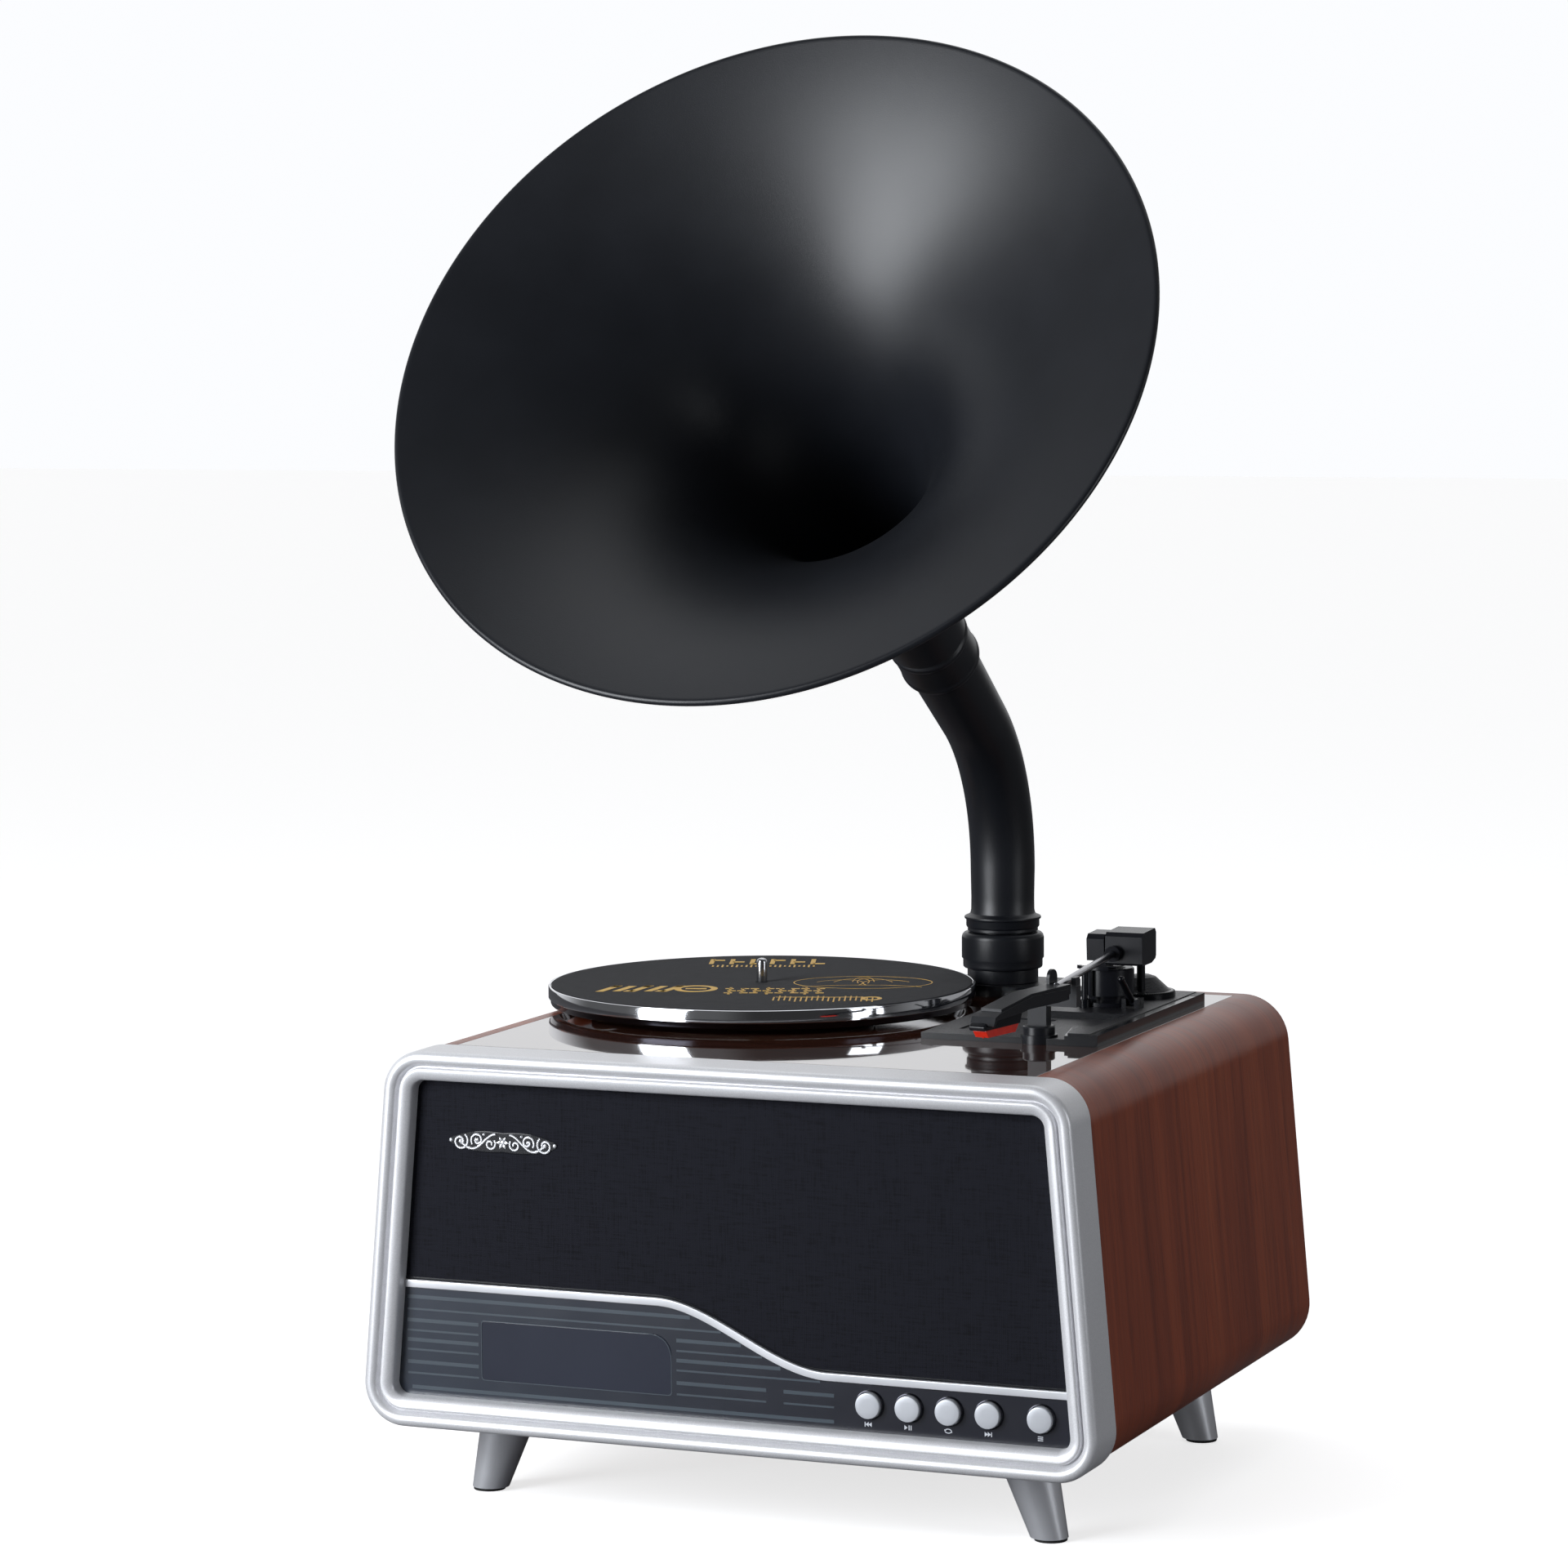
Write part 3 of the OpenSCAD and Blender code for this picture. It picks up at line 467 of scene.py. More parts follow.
def prism(mesh, outline, low, high, where=UP):
    """A closed outline of (x, y) points, drawn out from low to high along z."""
    loft(mesh, [[(*p, low) for p in outline], [(*p, high) for p in outline]], where, caps=True)


def at(x, y, z=0.0):
    return Matrix.Translation((x, y, z))


def facing(x, y, z):
    """Local x and y across the front, local z towards the viewer."""
    return Matrix.Translation((x, y, z)) @ Matrix.Rotation(math.pi / 2, 4, "X")


def round_edges(mesh, width, angle=30, segments=3):
    bmesh.ops.recalc_face_normals(mesh, faces=mesh.faces)
    limit = math.radians(angle)
    sharp = [e for e in mesh.edges if e.is_manifold and e.calc_face_angle(0) > limit]
    bmesh.ops.bevel(mesh, geom=sharp, offset=width, offset_type="OFFSET", segments=segments,
                    profile=0.55, affect="EDGES", clamp_overlap=True)


def piece(name, mesh, body, slot, *materials, smooth=38, stands_for=(), where=PLACE, weigh=True):
    """Makes the mesh a piece that rides on a body of the frame."""
    mesh.transform(where)
    bmesh.ops.recalc_face_normals(mesh, faces=mesh.faces)
    data = bpy.data.meshes.new(name)
    mesh.to_mesh(data)
    mesh.free()
    for material in materials:
        data.materials.append(material)
    data.shade_smooth()
    data.set_sharp_from_angle(angle=math.radians(smooth))
    made = bpy.data.objects.new(name, data)
    bpy.context.scene.collection.objects.link(made)
    if weigh:
        weights = made.modifiers.new("weigh", "WEIGHTED_NORMAL")
        weights.keep_sharp = True
    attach(made, body)
    if stands_for:
        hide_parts(*stands_for)
    return made


def body_of(node):
    return frame["nodes"][node]["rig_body"]


def slot_of(node):
    return next(s["material_slot"] for s in frame["record"]["subparts"] if s["node"] == node)


def refined(node, material, width, angle=30, segments=3, other=None, where=None):
    """The CAD node's own shape with its edges rounded.

    Faces for which where(middle in millimetres, normal) is true take the other material.
    """
    mesh = bmesh.new()
    mesh.from_mesh(frame["nodes"][node].data)
    bmesh.ops.remove_doubles(mesh, verts=mesh.verts, dist=3e-6)
    bmesh.ops.dissolve_limit(mesh, angle_limit=math.radians(0.3), verts=mesh.verts, edges=mesh.edges)
    if where is not None:
        mesh.normal_update()
        for face in mesh.faces:
            if where((face.calc_center_median() - ORIGIN) / MM, face.normal):
                face.material_index = 1
    round_edges(mesh, width * MM, angle, segments)
    materials = [material] if other is None else [material, other]
    return piece(node + "_finish", mesh, body_of(node), slot_of(node), *materials, stands_for=(node,),
                 where=UP)


def dress(node, material):
    """A CAD node whose own shape is right: it only gets a better material."""
    data = frame["nodes"][node].data
    data.materials.clear()
    data.materials.append(material)


# ---------------------------------------------------------------- cabinet
HALF_BELOW = 250.0  # half the front's width at the bottom
HALF_ABOVE = 229.0  # and at the top
FRONT_HEIGHT = 242.0
SLOPE = (HALF_BELOW - HALF_ABOVE) / FRONT_HEIGHT
LEAN = math.sqrt(1 + SLOPE * SLOPE)
FRAME_W = 19.2
FRAME_R = 27.0  # outer corners


def half_width(z):
    """Half the front's width at a height."""
    return HALF_BELOW - SLOPE * z


def tapered(inset, radius, steps=14):
    """The front's outline: a trapezoid with round corners, moved inwards by inset."""
    low = half_width(inset) - inset * LEAN
    high = half_width(TOP - inset) - inset * LEAN
    corners = [Vector(p) for p in ((-low, inset), (low, inset), (high, TOP - inset), (-high, TOP - inset))]
    made = []
    for i, corner in enumerate(corners):
        back = (corners[i - 1] - corner).normalized()
        ahead = (corners[(i + 1) % 4] - corner).normalized()
        half = back.angle(ahead) / 2
        centre = corner + (back + ahead).normalized() * radius / math.sin(half)
        start = corner + back * radius / math.tan(half) - centre
        end = corner + ahead * radius / math.tan(half) - centre
        turn = start.angle_signed(end)
        first = math.atan2(start.y, start.x)
        for k in range(steps + 1):
            angle = first - turn * k / steps
            made.append(centre + radius * Vector((math.cos(angle), math.sin(angle))))
    return made


def front_frame():
    """Two round ridges with a cove between them, and a flat band along the cabinet."""
    outer = [(4.6 - 4.6 * math.cos(a), 4.8 - 4.7 * math.sin(a)) for a in
             [math.pi * k / 14 for k in range(0, 13)]]
    inner = soften([(10.5, 5.6), (11.0, 2.0), (15.4, 2.6), (18.8, 5.2), (19.2, 11.0)], 1.7, 4, closed=False)
    profile = [(0.0, BEZEL_DEPTH - 0.4), (0.0, 5.4)] + outer + [(9.7, 5.6)] + [tuple(p) for p in inner]
    profile += [(19.2, 13.9), (14.9, 13.9), (14.9, BEZEL_DEPTH - 0.2), (0.4, BEZEL_DEPTH - 0.2)]
    mesh = bmesh.new()
    rings = []
    for inset, depth in profile:
        outline = tapered(inset, max(FRAME_R - inset, 5.0))
        rings.append([(p.x, depth, p.y) for p in outline])
    loft(mesh, rings, loop=True)
    piece("front_frame", mesh, "cabinet", "silver_frame", SILVER, smooth=50, stands_for=("front_bezel",),
          weigh=False)


# the S-shaped line that parts the cloth from the control panel
S_LEFT, S_RIGHT = -48.0, 68.0
S_HIGH, S_LOW = 93.3, 54.3
STRIP_W = 5.0


def ease(t):
    t = min(1.0, max(0.0, t))
    return t * t * (3 - 2 * t)


def s_height(x):
    """Middle of the strip."""
    return S_HIGH - (S_HIGH - S_LOW) * ease((x - S_LEFT) / (S_RIGHT - S_LEFT)) - STRIP_W / 2


def s_points(first, last, offset):
    xs = [first] + [S_LEFT + (S_RIGHT - S_LEFT) * k / 40 for k in range(41)] + [last]
    made = []
    for x in xs:
        slope = s_height(x + 0.5) - s_height(x - 0.5)
        made.append(Vector((x, s_height(x))) + Vector((-slope, 1)).normalized() * offset)
    return made


def edge_x(z, inset):
    """Distance from the middle to the inside of the frame, at a height."""
    return half_width(z) - inset * LEAN


def swept_strip(mesh, line, section):
    """Sweeps a section of (across, depth) points along a line of (x, z) points."""
    rings = []
    for i, point in enumerate(line):
        ahead = line[min(i + 1, len(line) - 1)] - line[max(i - 1, 0)]
        side = Vector((-ahead.y, ahead.x)).normalized()
        rings.append([(point.x + side.x * a, depth, point.y + side.y * a) for a, depth in section])
    loft(mesh, rings, caps=True)


def trim():
    mesh = bmesh.new()
    section = [(-2.5, PANEL_Y + 3.5), (-2.5, PANEL_Y - 1.1), (-2.35, PANEL_Y - 1.55), (-1.9, PANEL_Y - 1.8),
               (1.7, PANEL_Y - 1.95), (2.25, PANEL_Y - 1.7), (2.5, PANEL_Y - 1.1), (2.5, PANEL_Y + 3.5)]
    left = -edge_x(S_HIGH, FRAME_W) + 0.3
    right = edge_x(S_LOW, FRAME_W) - 0.3
    swept_strip(mesh, s_points(left, right, 0.0), section)
    piece("trim_strip_finish", mesh, "cabinet", "bright_trim", TRIM, stands_for=("trim_strip",))
    # a glossy black bead that edges the cloth just above the strip
    mesh = bmesh.new()
    bead = [(-0.9, PANEL_Y + 0.4), (-0.7, PANEL_Y - 0.5), (0, PANEL_Y - 0.9), (0.7, PANEL_Y - 0.5),
            (0.9, PANEL_Y + 0.4)]
    swept_strip(mesh, s_points(left, right, STRIP_W / 2 + 1.1), bead)
    piece("cloth_edge_bead", mesh, "cabinet", "panel_print", BLACK)


def grille_skin():
    """Cloth stretched over the grille board, down to the bead."""
    inside = [p for p in tapered(FRAME_W - 0.6, 6.5) if p.y > S_HIGH]
    right = [p for p in inside if p.x > 0]
    left = [p for p in inside if p.x <= 0]
    bottom = s_points(-edge_x(S_HIGH, FRAME_W), edge_x(S_LOW, FRAME_W), STRIP_W / 2 + 1.0)
    outline = bottom + right + left
    mesh = bmesh.new()
    face = mesh.faces.new([mesh.verts.new((p.x, PANEL_Y - 0.25, p.y)) for p in outline])
    area = face.calc_area() * MM * MM
    skin = piece("grille_cloth", mesh, "cabinet", "grille_cloth", CLOTH, weigh=False)
    refined("grille_panel", MATTE_BLACK, 0.3)


def stripe_end(z, half):
    """How far right a stripe at height z runs before it meets the strip."""
    x = S_RIGHT
    while x > -240 and s_height(x) - STRIP_W / 2 * 1.12 < z + half + 0.6:
        x -= 0.5
    return x


# printed stripes as (height, half width): wide and thin ones take turns
TOP_STRIPES = [(82.1, 1.15), (74.2, 0.6)]
STRIPES = [(67.0, 1.15), (60.45, 0.6), (54.35, 1.15), (48.05, 0.6), (40.1, 1.15), (32.85, 0.6)]
LOW_STRIPE = (23.8, 1.15)
WINDOW_LEFT, WINDOW_RIGHT = -171.7, -34.4
SHORT_LEFT, SHORT_RIGHT = 38.0, 71.7


def panel_stripes():
    """Stripes on the control panel, round the window and up to the strip."""
    mesh = bmesh.new()

    def bar(x0, x1, z, half):
        outline = [(x0, z - half), (x1, z - half), (x1, z + half), (x0, z + half)]
        prism(mesh, outline, -0.05, 0.09, facing(0, PANEL_Y, 0))

    left = -edge_x(60, FRAME_W) + 3.5
    for z, half in TOP_STRIPES:
        bar(left, stripe_end(z, half), z, half)
    for i, (z, half) in enumerate(STRIPES):
        bar(left, WINDOW_LEFT, z, half)
        bar(WINDOW_RIGHT, min(stripe_end(z, half), 26.3 if i > 3 else 90), z, half)
        if i > 3:
            bar(SHORT_LEFT, SHORT_RIGHT, z, half)
    bar(left + 3, SHORT_RIGHT, *LOW_STRIPE)
    piece("panel_stripes", mesh, "cabinet", "panel_print", STRIPE, weigh=False)


def window_outline(inset):
    low, high = Vector((-169.5 + inset, 31.8 + inset)), Vector((-38 - inset, 69.8 - inset))
    points = [low, (high.x, low.y), high, (low.x, high.y)]
    return soften(points, [2.5, 2.5, 17 - inset, 2.5], 8)


def display():
    refined("display_window", WINDOW, 0.25)
    mesh = bmesh.new()
    rings = [[(p.x, PANEL_Y + depth, p.y) for p in window_outline(inset)]
             for inset, depth in ((-0.35, 0.05), (-0.3, -0.12), (0.15, -0.12), (0.2, 0.05))]
    loft(mesh, rings, loop=True)
    piece("window_outline", mesh, "cabinet", "panel_print", STRIPE, weigh=False)


def marks():
    """Generic playing signs under the buttons."""
    mesh = bmesh.new()
    tall = 1.5

    def below(key):
        return facing(BUTTONS[key].x - 0.6, PANEL_Y, BUTTONS[key].z - 12.2)

    def sign(key, shapes):
        for shape in shapes:
            prism(mesh, shape, -0.05, 0.08, below(key))

    def arrow(x, way):
        return [(x - way * tall * 0.7, -tall), (x + way * tall * 0.7, 0), (x - way * tall * 0.7, tall)]

    def block(x, wide):
        return [(x - wide, -tall), (x + wide, -tall), (x + wide, tall), (x - wide, tall)]

    sign("previous", [block(-2.4, 0.28), arrow(-1.1, -1), arrow(0.9, -1)])
    sign("play", [arrow(-1.4, 1), block(0.6, 0.32), block(1.9, 0.32)])
    sign("next", [arrow(-1.2, 1), arrow(0.8, 1), block(2.2, 0.28)])
    sign("mode", [[(-1.7, z - 0.27), (1.7, z - 0.27), (1.7, z + 0.27), (-1.7, z + 0.27)]
                  for z in (-1.15, 0, 1.15)])
    for flip in (0, math.pi):
        where = below("repeat") @ Matrix.Rotation(flip, 4, "Z")
        angles = [math.radians(20 + 130 * k / 10) for k in range(11)]
        arc = [(2.4 * math.cos(a), 1.5 * math.sin(a)) for a in angles]
        arc += [(1.8 * math.cos(a), 1.0 * math.sin(a)) for a in reversed(angles)]
        prism(mesh, arc, -0.05, 0.08, where)
        prism(mesh, [(-2.6, 0.95), (-1.1, 0.7), (-2.3, -0.5)], -0.05, 0.08, where)
    piece("button_marks", mesh, "cabinet", "badge_metal", ICON, weigh=False)


def spiral(centre, start, end, first, turns, steps=26):
    """A line of points that winds in from radius start to radius end."""
    made = []
    for k in range(steps + 1):
        t = k / steps
        radius = start + (end - start) * t
        angle = first + TURN * turns * t
        made.append(Vector(centre) + radius * Vector((math.cos(angle), math.sin(angle))))
    return made


def badge():
    """A plain ornament of scrolls and beads on a dark backing."""
    centre = middle("badge_plaque")
    mesh = bmesh.new()
    count = 120
    rings = []
    for grow, height in ((0, -0.05), (0, 0.45), (-0.35, 0.7), (-0.9, 0.7)):
        rings.append([((38.0 + grow) * math.cos(a), (6.4 + grow + 1.1 * abs(math.cos(3 * a))) * math.sin(a),
                       height) for a in [TURN * k / count for k in range(count)]])
    loft(mesh, rings, facing(centre.x, PANEL_Y, centre.z), caps=True)
    piece("badge_backing", mesh, "cabinet", "badge_metal", BLACK, stands_for=("badge_plaque",))
    mesh = bmesh.new()
    top = PANEL_Y - 0.6
    section = [(-0.75, top), (-0.7, top - 0.55), (-0.3, top - 0.9), (0.3, top - 0.9), (0.7, top - 0.55),
               (0.75, top)]
    scrolls = [((29.5, -0.4), 5.6, 1.3, 2.2, 1.35), ((17.6, 1.0), 4.6, 1.0, 5.6, 1.25),
               ((8.6, -1.2), 3.9, 0.9, 2.4, 1.2)]
    beads = [(36.2, 0, 1.3), (23.4, -4.4, 1.1), (13.2, 4.6, 1.0), (29.5, -0.4, 1.4), (17.6, 1.0, 1.2)]
    for side in (-1, 1):
        for scroll in scrolls:
            line = spiral(*scroll)
            swept_strip(mesh, [Vector((centre.x + side * p.x, centre.z + p.y)) for p in line], section)
        stem = [Vector((5 + 25 * t, 5.2 * math.sin(TURN * (0.25 + 0.75 * t)) * (1 - 0.15 * t))) for t in
                [k / 24 for k in range(25)]]
        swept_strip(mesh, [Vector((centre.x + side * p.x, centre.z + p.y)) for p in stem], section)
        for x, z, size in beads:
            lathe(mesh, [(0, 0), (size, 0), (size * 0.8, 0.7), (size * 0.4, 1.0), (0, 1.1)],
                  facing(centre.x + side * x, top, centre.z + z), 20, False)
    for turn in range(6):
        where = facing(centre.x, top, centre.z) @ Matrix.Rotation(turn * TURN / 6, 4, "Z")
        petal = [(1.0, 0), (2.2, 1.1), (4.6, 0), (2.2, -1.1)]
        tip = [(2.4 + 0.2 * p[0], 0.2 * p[1], 0.95) for p in petal]
        loft(mesh, [[(*p, 0) for p in petal], [(*p, 0.6) for p in petal], tip], where, caps=True)
    lathe(mesh, [(0, 0), (1.5, 0), (1.2, 0.9), (0, 1.3)], facing(centre.x, top, centre.z), 24, False)
    piece("badge_scrolls", mesh, "cabinet", "badge_metal", BADGE)


def push_buttons():
    mesh = bmesh.new()
    r = BUTTON_R
    for spot in BUTTONS.values():
        rim = [(r + 0.45, 0.0), (r + 1.3, 0.0), (r + 1.3, 0.7), (r + 0.95, 1.25), (r + 0.7, 1.3),
               (r + 0.45, 1.0)]
        lathe(mesh, rim, facing(spot.x, PANEL_Y, spot.z), 64)
    piece("button_rings_finish", mesh, "cabinet", "button_chrome", DARK_CHROME, stands_for=("button_rings",))
    for key, spot in BUTTONS.items():
        mesh = bmesh.new()
        cap = [(0, -6), (r + 1.1, -6), (r + 1.1, -4.9), (r, -4.9), (r, 3.75), (r - 0.12, 4.05),
               (r - 0.4, 4.25), (r - 0.8, 4.32), (r * 0.5, 4.4), (0, 4.43)]
        lathe(mesh, cap, facing(spot.x, PANEL_Y, spot.z), 64, loop=False)
        piece("button_" + key + "_cap", mesh, "key_" + key, "button_silver", CAP,
              stands_for=("button_" + key,), smooth=50, weigh=False)


def cabinet():
    refined("cabinet_shell", VENEER, 0.8)
    refined("deck_panel", DECK, 0.35)
    front_frame()
    trim()
    grille_skin()
    refined("control_panel", PANEL, 0.25)
    display()
    panel_stripes()
    marks()
    badge()
    push_buttons()


# ---------------------------------------------------------------- feet, back and inner parts
def small_parts():
    for node in ("foot_front_left", "foot_front_right", "foot_rear_left", "foot_rear_right"):
        refined(node, FOOT, 0.9)
    refined("foot_pads", RUBBER, 0.4)
    refined("back_panel", MATTE_BLACK, 0.6)
    refined("back_screws", SATIN_BLACK, 0.15, segments=2)
    refined("connector_plate", SATIN_BLACK, 0.4)
    refined("power_inlet", BLACK, 0.25)
    refined("line_jacks", BRASS, 0.25)
    refined("aux_jack", BLACK, 0.25)
    refined("usb_port", STEEL, 0.12, segments=2)
    refined("power_switch", BLACK, 0.35)
    for node, material in (("baffle_board", FIBRE), ("display_module", BOARD), ("control_board", BOARD),
                           ("main_board", BOARD), ("power_supply", SUPPLY), ("speaker_left", PAPER),
                           ("speaker_right", PAPER), ("sub_platter", IVORY), ("bearing_sleeve", BRASS),
                           ("motor", MOTOR), ("motor_pulley", BRASS), ("drive_belt", RUBBER),
                           ("horn_driver", SATIN_BLACK)):
        dress(node, material)


# ---------------------------------------------------------------- platter
MAT_TOP = span("platter_mat")[1].z - TOP
SPINDLE_TOP = span("spindle")[1].z - TOP


def platter():
    where = at(PLATTER.x, PLATTER.y, TOP)
    r = PLATTER_R
    profile = [(3.7, 12.2), (133.6, 12.2), (135.9, 3.5), (136.4, 3.35), (140.3, 3.35), (141.2, 3.7),
               (141.7, 4.7), (141.9, 7.2), (142.2, 7.7), (r - 0.35, 7.9), (r, 8.3), (r, MAT_TOP - 1.0),
               (r - 0.25, MAT_TOP - 0.45), (r - 0.8, MAT_TOP - 0.2), (141.9, MAT_TOP - 0.3),
               (141.6, MAT_TOP - 0.6), (141.6, 15.0), (3.7, 15.0)]
    mesh = bmesh.new()
    lathe(mesh, profile, where, 256)
    for face in mesh.faces:
        if face.calc_center_median().z < TOP + 7.6:
            face.material_index = 1
    piece("platter_finish", mesh, "platter", "platter_metal", CHROME, DARK_CHROME, stands_for=("platter",),
          smooth=30, weigh=False)
    mesh = bmesh.new()
    thick = [(4.1, 15.12), (141.2, 15.12), (141.2, MAT_TOP - 0.35), (140.9, MAT_TOP - 0.08), (140.4, MAT_TOP)]
    thick += [(reach, MAT_TOP + 0.05 * math.sin(reach * 1.9)) for reach in range(136, 4, -4)]
    thick += [(4.1, MAT_TOP - 0.1)]
    lathe(mesh, thick, where, 200)
    mat = piece("platter_mat_felt", mesh, "platter", "mat_felt", FELT, stands_for=("platter_mat",),
                weigh=False)
    mesh = bmesh.new()
    pin = [(0, -34), (3.5, -34), (3.5, 16), (3.6, 16.6), (3.6, SPINDLE_TOP - 3.0), (3.35, SPINDLE_TOP - 1.6),
           (2.6, SPINDLE_TOP - 0.6), (1.2, SPINDLE_TOP), (0, SPINDLE_TOP)]
    lathe(mesh, pin, where, 48, loop=False)
    piece("spindle_finish", mesh, "platter", "spindle_steel", STEEL, stands_for=("spindle",), weigh=False)


def mat_print():
    """Gold print on the mat: bars, combs, rings and a fan, all plain ornament."""
    mesh = bmesh.new()
    where = at(PLATTER.x, PLATTER.y, TOP + MAT_TOP) @ Matrix.Rotation(math.radians(20), 4, "Z")

    def bar(x, y, wide, tall, slant=0.0):
        low, high = y - tall / 2, y + tall / 2
        lean = slant * tall / 2
        outline = [(x - wide / 2 - lean, low), (x + wide / 2 - lean, low), (x + wide / 2 + lean, high),
                   (x - wide / 2 + lean, high)]
        prism(mesh, outline, -0.1, 0.11, where)

    def hoop(x, y, a, b, turn=0.0, wide=0.7, first=0.0, last=1.0):
        steps = 60
        spot = where @ at(x, y) @ Matrix.Rotation(turn, 4, "Z")
        angles = [TURN * (first + (last - first) * k / steps) for k in range(steps + (last - first < 1))]
        rings = [[((a + grow) * math.cos(t), (b + grow) * math.sin(t), height) for t in angles]
                 for grow, height in ((0, -0.1), (0, 0.09), (wide, 0.09), (wide, -0.1))]
        if last - first < 1:
            across = list(zip(*rings))
            loft(mesh, across, spot, caps=True)
        else:
            loft(mesh, rings, spot, loop=True)

    for k in range(5):
        bar(-100 + 10.5 * k, -36, 5.2, 30 - 4 * (k % 2), 0.35)
        bar(-96 + 10.5 * k, -36 + 11 * (1 - k % 2 * 2), 6.0, 6.5, 0.35)
    hoop(-42, -36, 10, 12, wide=4.5)
    bar(-42, -36, 14, 4.5)
    for k in range(8):
        x = -19 + 8.4 * k
        bar(x, -47, 1.7, 34 - 8 * (k % 3))
        for row in range(3):
            bar(x + (1.2 if (k + row) % 2 else -0.6), -36 - 10.5 * row, 5.6, 3.4)
    for k in range(19):
        bar(12 + 3.6 * k, -86 + 3 * math.sin(k), 1.0, 16 + 8 * abs(math.sin(1.3 * k)))
    bar(46, -78, 66, 1.8)
    hoop(76, -84, 4, 6, wide=3)
    for k in range(6):
        bar(-40 + 14 * k, 106, 3.2, 26)
        bar(-35.5 + 14 * k, 113 - 9 * (k % 3), 8.0, 5.5)
    for k in range(22):
        bar(-38 + 3.3 * k, 82, 1.3, 6 + 3 * (k % 3))
    hoop(68, -4, 46, 31)
    for k in (-2, -1, 0, 1, 2):
        hoop(68 + 9 * k, -4 - 4 * abs(k), 7 + 9 * abs(k) / 2, 27 - 2.5 * abs(k), 0.25 * k, 0.6, 0.02, 0.48)
    hoop(68, -30, 40, 12, wide=0.6, first=0.03, last=0.47)
    piece("mat_print", mesh, "platter", "mat_felt", GOLD, weigh=False)


# ---------------------------------------------------------------- tonearm
def on_texture(spot, normal):
    """The sunk middle of the console and its dome are textured; its rims are glossy."""
    height = spot.z - TOP
    sunk = height < 4.5 and normal.z > 0.9 and spot.x > 84
    dome = height > 10.5 and (spot.xy - DOME).length < 22 and (spot.xy - DOME_POST).length > 4
    shelf = 7.5 < height < 8.5 and normal.z > 0.9 and spot.x < 183
    return sunk or dome or shelf


def dome_teeth():
    """A ring of fine teeth round the foot of the console's dome."""
    mesh = bmesh.new()
    steps = 4 * 84
    rings = []
    for tip, root, z in ((19.4, 19.4, 10.8), (22.2, 21.4, 10.8), (22.2, 21.4, 11.7), (21.7, 21.0, 12.1),
                         (19.4, 19.4, 12.2)):
        radii = [tip if k % 4 < 2 else root for k in range(steps)]
        rings.append([(radius * math.cos(TURN * k / steps), radius * math.sin(TURN * k / steps), z)
                      for k, radius in enumerate(radii)])
    loft(mesh, rings, at(DOME.x, DOME.y, TOP), loop=True)
    piece("dome_teeth", mesh, "cabinet", slot_of("console_plate"), GLOSS_BLACK, weigh=False)


def tonearm():
    refined("console_plate", GLOSS_BLACK, 0.6, other=SPECKLE, where=on_texture)
    dome_teeth()
    refined("rest_post", SATIN_BLACK, 0.6)
    refined("pivot_base", BLACK, 0.5)
    refined("cue_lever", GLOSS_BLACK, 0.4)
    refined("cue_lift", BLACK, 0.5)
    refined("gimbal_bracket", BLACK, 1.6, segments=4)
    refined("gimbal_pin", STEEL, 0.4)
    refined("arm_housing", BLACK, 2.2, segments=5)
    refined("arm_tube", TUBE, 0.2)
    refined("headshell", SATIN_BLACK, 0.7)
    refined("cartridge", GLOSS_BLACK, 0.8)
    refined("stylus", RED, 0.45)


# ---------------------------------------------------------------- horn
TILT = math.radians(34.9)
MOUTH_R = 240.6
THROAT_R = 22.0
FLARE = 80.0  # the bell's radius falls towards the throat's by e in this distance
BELL_LENGTH = 318.0
HALF_WALL = 0.9
BEAD_R = 2.3
MOUTH = Vector((HORN.x, -9.4, TOP + 436))
ELBOW_R = 130.0
BELL = Matrix.Translation(MOUTH) @ Matrix.Rotation(math.pi / 2 - TILT, 4, "X")


def flare(depth):
    """Radius of the bell, a distance behind its mouth."""
    return THROAT_R + (MOUTH_R - THROAT_R) * math.exp(-depth / FLARE)


def horn_bell():
    rows = 70
    depths = [BELL_LENGTH * (k / rows) ** 1.5 for k in range(rows + 1)]

    def wall(depth, side):
        """A point a distance to one side of the flare."""
        slope = -(MOUTH_R - THROAT_R) / FLARE * math.exp(-depth / FLARE)
        out = Vector((1, -slope)).normalized()
        return flare(depth) + out.x * side, -(depth + out.y * side)

    inner = [wall(d, -HALF_WALL) for d in depths]
    outer = [wall(d, HALF_WALL) for d in depths]
    # the edge rolls back over a bead that starts along the inside surface
    front = Vector((-1, (MOUTH_R - THROAT_R) / FLARE)).normalized()
    middle_of_bead = Vector(inner[0]) - BEAD_R * front
    first = math.atan2(front.y, front.x)
    bead = [tuple(middle_of_bead + BEAD_R * Vector((math.cos(first - a), math.sin(first - a)))) for a in
            [math.radians(24 * k) for k in range(11)]]
    ferrule = soften([(24.2, -319), (27, -322), (27.3, -324), (26.4, -326), (26.4, -347), (27.2, -349),
                      (26.8, -352), (23.0, -352)], 0.8, 3, closed=False)
    neck = [(23.0, -329), (21.2, -322)]
    profile = inner[1:][::-1] + bead + outer[1:] + ferrule + neck
    mesh = bmesh.new()
    lathe(mesh, profile, BELL, 288)
    piece("horn_bell_finish", mesh, "horn", "horn_black", COAT, stands_for=("horn_bell",), smooth=45,
          weigh=False)


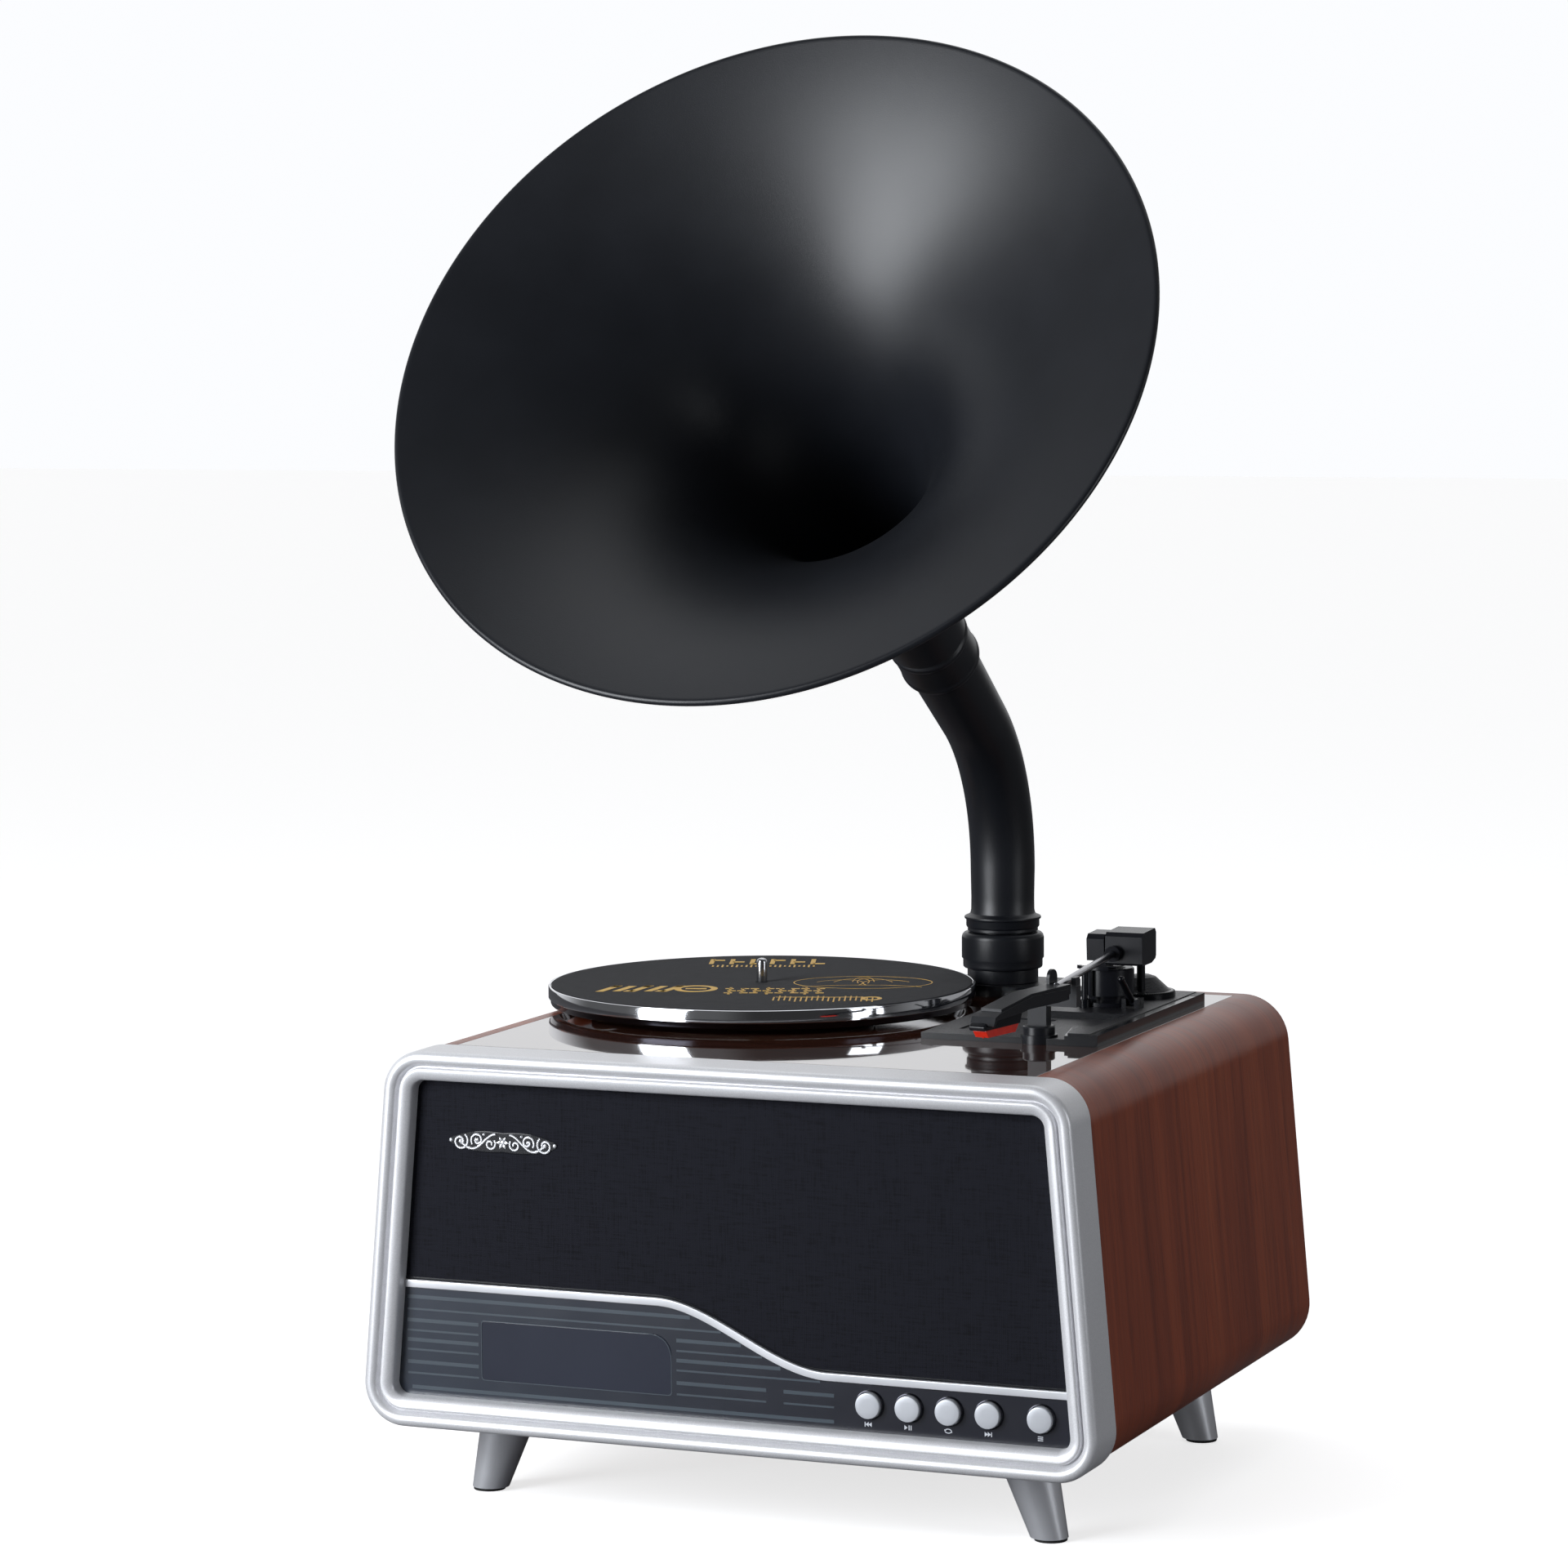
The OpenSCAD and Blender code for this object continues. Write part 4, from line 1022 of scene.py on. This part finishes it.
def horn_pipe():
    """One tube: up from the collar, round the elbow and into the bell's neck."""
    elbow_z = MOUTH.z - (HORN.y - MOUTH.y) * math.tan(TILT)
    bend = math.pi / 2 - TILT
    leg = ELBOW_R * math.tan(bend / 2)
    sides = 72
    rings = []

    def hoop(centre, lean, radius):
        where = Matrix.Translation(centre) @ Matrix.Rotation(lean, 4, "X")
        angles = [TURN * k / sides for k in range(sides)]
        rings.append([where @ Vector((radius * math.cos(a), radius * math.sin(a), 0)) for a in angles])

    def bent(share, radius):
        """A hoop on the elbow, whose foot is at 0 and whose end is at 1."""
        a = bend * share
        centre = (HORN.x, HORN.y - ELBOW_R * (1 - math.cos(a)), elbow_z - leg + ELBOW_R * math.sin(a))
        hoop(centre, a, radius)

    base = [(20.0, 12.4), (20.0, 42.2), (23.4, 42.2), (24.0, 42.8), (24.0, 44.6), (24.6, 45.2), (25.0, 46.0),
            (25.0, 50.0), (25.3, 50.6), (26.0, 50.9), (26.2, 51.5), (26.1, 52.3), (25.4, 52.8), (23.6, 53.4),
            (22.2, 54.6), (21.6, 57.0), (21.5, 66.0)]
    for radius, height in base:
        hoop((HORN.x, HORN.y, TOP + height), 0, radius)
    for k in range(29):
        bent(k / 28, 21.9 + 0.4 * k / 28)
    along = BELL.to_3x3() @ Vector((0, 0, 1))
    for depth, radius in ((352.3, 23.6), (352.1, 22.9), (332.0, 22.9), (332.0, 17.5)):
        hoop(MOUTH - along * depth, bend, radius)
    for k in range(28, -1, -2):
        bent(k / 28, 17.3)
    hoop((HORN.x, HORN.y, TOP + 12.4), 0, 17.4)
    mesh = bmesh.new()
    loft(mesh, rings, loop=True)
    piece("horn_pipe_finish", mesh, "horn", "horn_black", COAT, stands_for=("horn_pipe",), smooth=34,
          weigh=False)


def horn_foot():
    """The socket in the deck and the collar that the pipe turns in."""
    where = at(HORN.x, HORN.y, TOP)
    refined("horn_socket", SATIN_BLACK, 0.6)
    profile = [(23.1, 17.3), (26.4, 17.3), (27.0, 17.9), (27.2, 19.0), (27.2, 23.0), (28.1, 24.2),
               (28.1, 37.8), (27.6, 39.9), (26.4, 41.2), (25.4, 41.6), (20.6, 41.6), (20.6, 39.2),
               (23.1, 39.2)]
    mesh = bmesh.new()
    lathe(mesh, profile, where, 96)
    piece("horn_collar_finish", mesh, "cabinet", "socket_black", SATIN_BLACK, stands_for=("horn_collar",),
          smooth=40)


# ---------------------------------------------------------------- studio
def softbox(name, azimuth, elevation, distance, width, height, power, target=(0.0, 0.0, 0.5)):
    """An area light that faces the player. Azimuth 0 is in front, positive to the right."""
    a, e = math.radians(azimuth), math.radians(elevation)
    data = bpy.data.lights.new(name, "AREA")
    data.shape = "RECTANGLE"
    data.size = width
    data.size_y = height
    data.energy = power
    data.color = (0.93, 0.96, 1.0)
    light = bpy.data.objects.new(name, data)
    aim = Vector(target)
    away = Vector((math.sin(a) * math.cos(e), -math.cos(a) * math.cos(e), math.sin(e)))
    light.location = aim + away * distance
    light.rotation_euler = away.to_track_quat("Z", "Y").to_euler()
    light.visible_camera = False
    bpy.context.scene.collection.objects.link(light)


def studio():
    """Plain soft light, a white room and a pale floor that is darker in reflections."""
    scene = bpy.context.scene
    scene.view_settings.view_transform = "Standard"
    world = bpy.data.worlds.new("studio")
    scene.world = world
    world.use_nodes = True
    nodes, links = world.node_tree.nodes, world.node_tree.links
    place = nodes.new("ShaderNodeTexCoord")
    parts = nodes.new("ShaderNodeSeparateXYZ")
    links.new(place.outputs["Generated"], parts.inputs[0])

    def fade(source, start, end, low, high):
        made = nodes.new("ShaderNodeMapRange")
        made.interpolation_type = "SMOOTHSTEP"
        for key, value in (("From Min", start), ("From Max", end), ("To Min", low), ("To Max", high)):
            made.inputs[key].default_value = value
        links.new(source, made.inputs["Value"])
        return made.outputs[0]

    # the room is bright behind and dark in front, and darker on the right
    room = nodes.new("ShaderNodeMath")
    room.operation = "MULTIPLY"
    links.new(fade(parts.outputs[1], -0.15, 0.75, 0.10, 0.95), room.inputs[0])
    links.new(fade(parts.outputs[0], -0.05, 0.35, 1.0, 0.32), room.inputs[1])
    seen = nodes.new("ShaderNodeLightPath")
    mix = nodes.new("ShaderNodeMix")
    links.new(seen.outputs["Is Camera Ray"], mix.inputs[0])
    links.new(room.outputs[0], mix.inputs[2])
    mix.inputs[3].default_value = 1.0
    shade = nodes["Background"]
    shade.inputs["Color"].default_value = (0.97, 0.98, 1.0, 1)
    links.new(mix.outputs[0], shade.inputs["Strength"])
    softbox("key_left", -34, 9, 2.6, 1.25, 1.95, 84, (0.0, 0.0, 0.6))
    softbox("overhead", 180, 66, 2.6, 3.0, 2.0, 9)
    softbox("fill_right", 82, 8, 3.0, 1.0, 1.6, 15)
    mesh = bmesh.new()
    prism(mesh, [(-20, -20), (20, -20), (20, 20), (-20, 20)], -0.02, 0.0)
    data = bpy.data.meshes.new("floor")
    mesh.to_mesh(data)
    mesh.free()
    look = Look("floor_paper", (0.90, 0.90, 0.90), 0.85, Specular_IOR_Level=0.1)
    seen = look.node("ShaderNodeLightPath").outputs["Is Camera Ray"]
    look.feed("Base Color", look.ramp(seen, (0.0, (0.16, 0.16, 0.17)), (1.0, (0.9, 0.9, 0.9))))
    look.shader.inputs["Emission Color"].default_value = (1, 1, 1, 1)
    look.feed("Emission Strength", look.spread(seen, 0.0, 0.70))
    data.materials.append(look.material)
    floor = bpy.data.objects.new("floor", data)
    scene.collection.objects.link(floor)


cabinet()
small_parts()
platter()
mat_print()
tonearm()
horn_bell()
horn_pipe()
horn_foot()
studio()
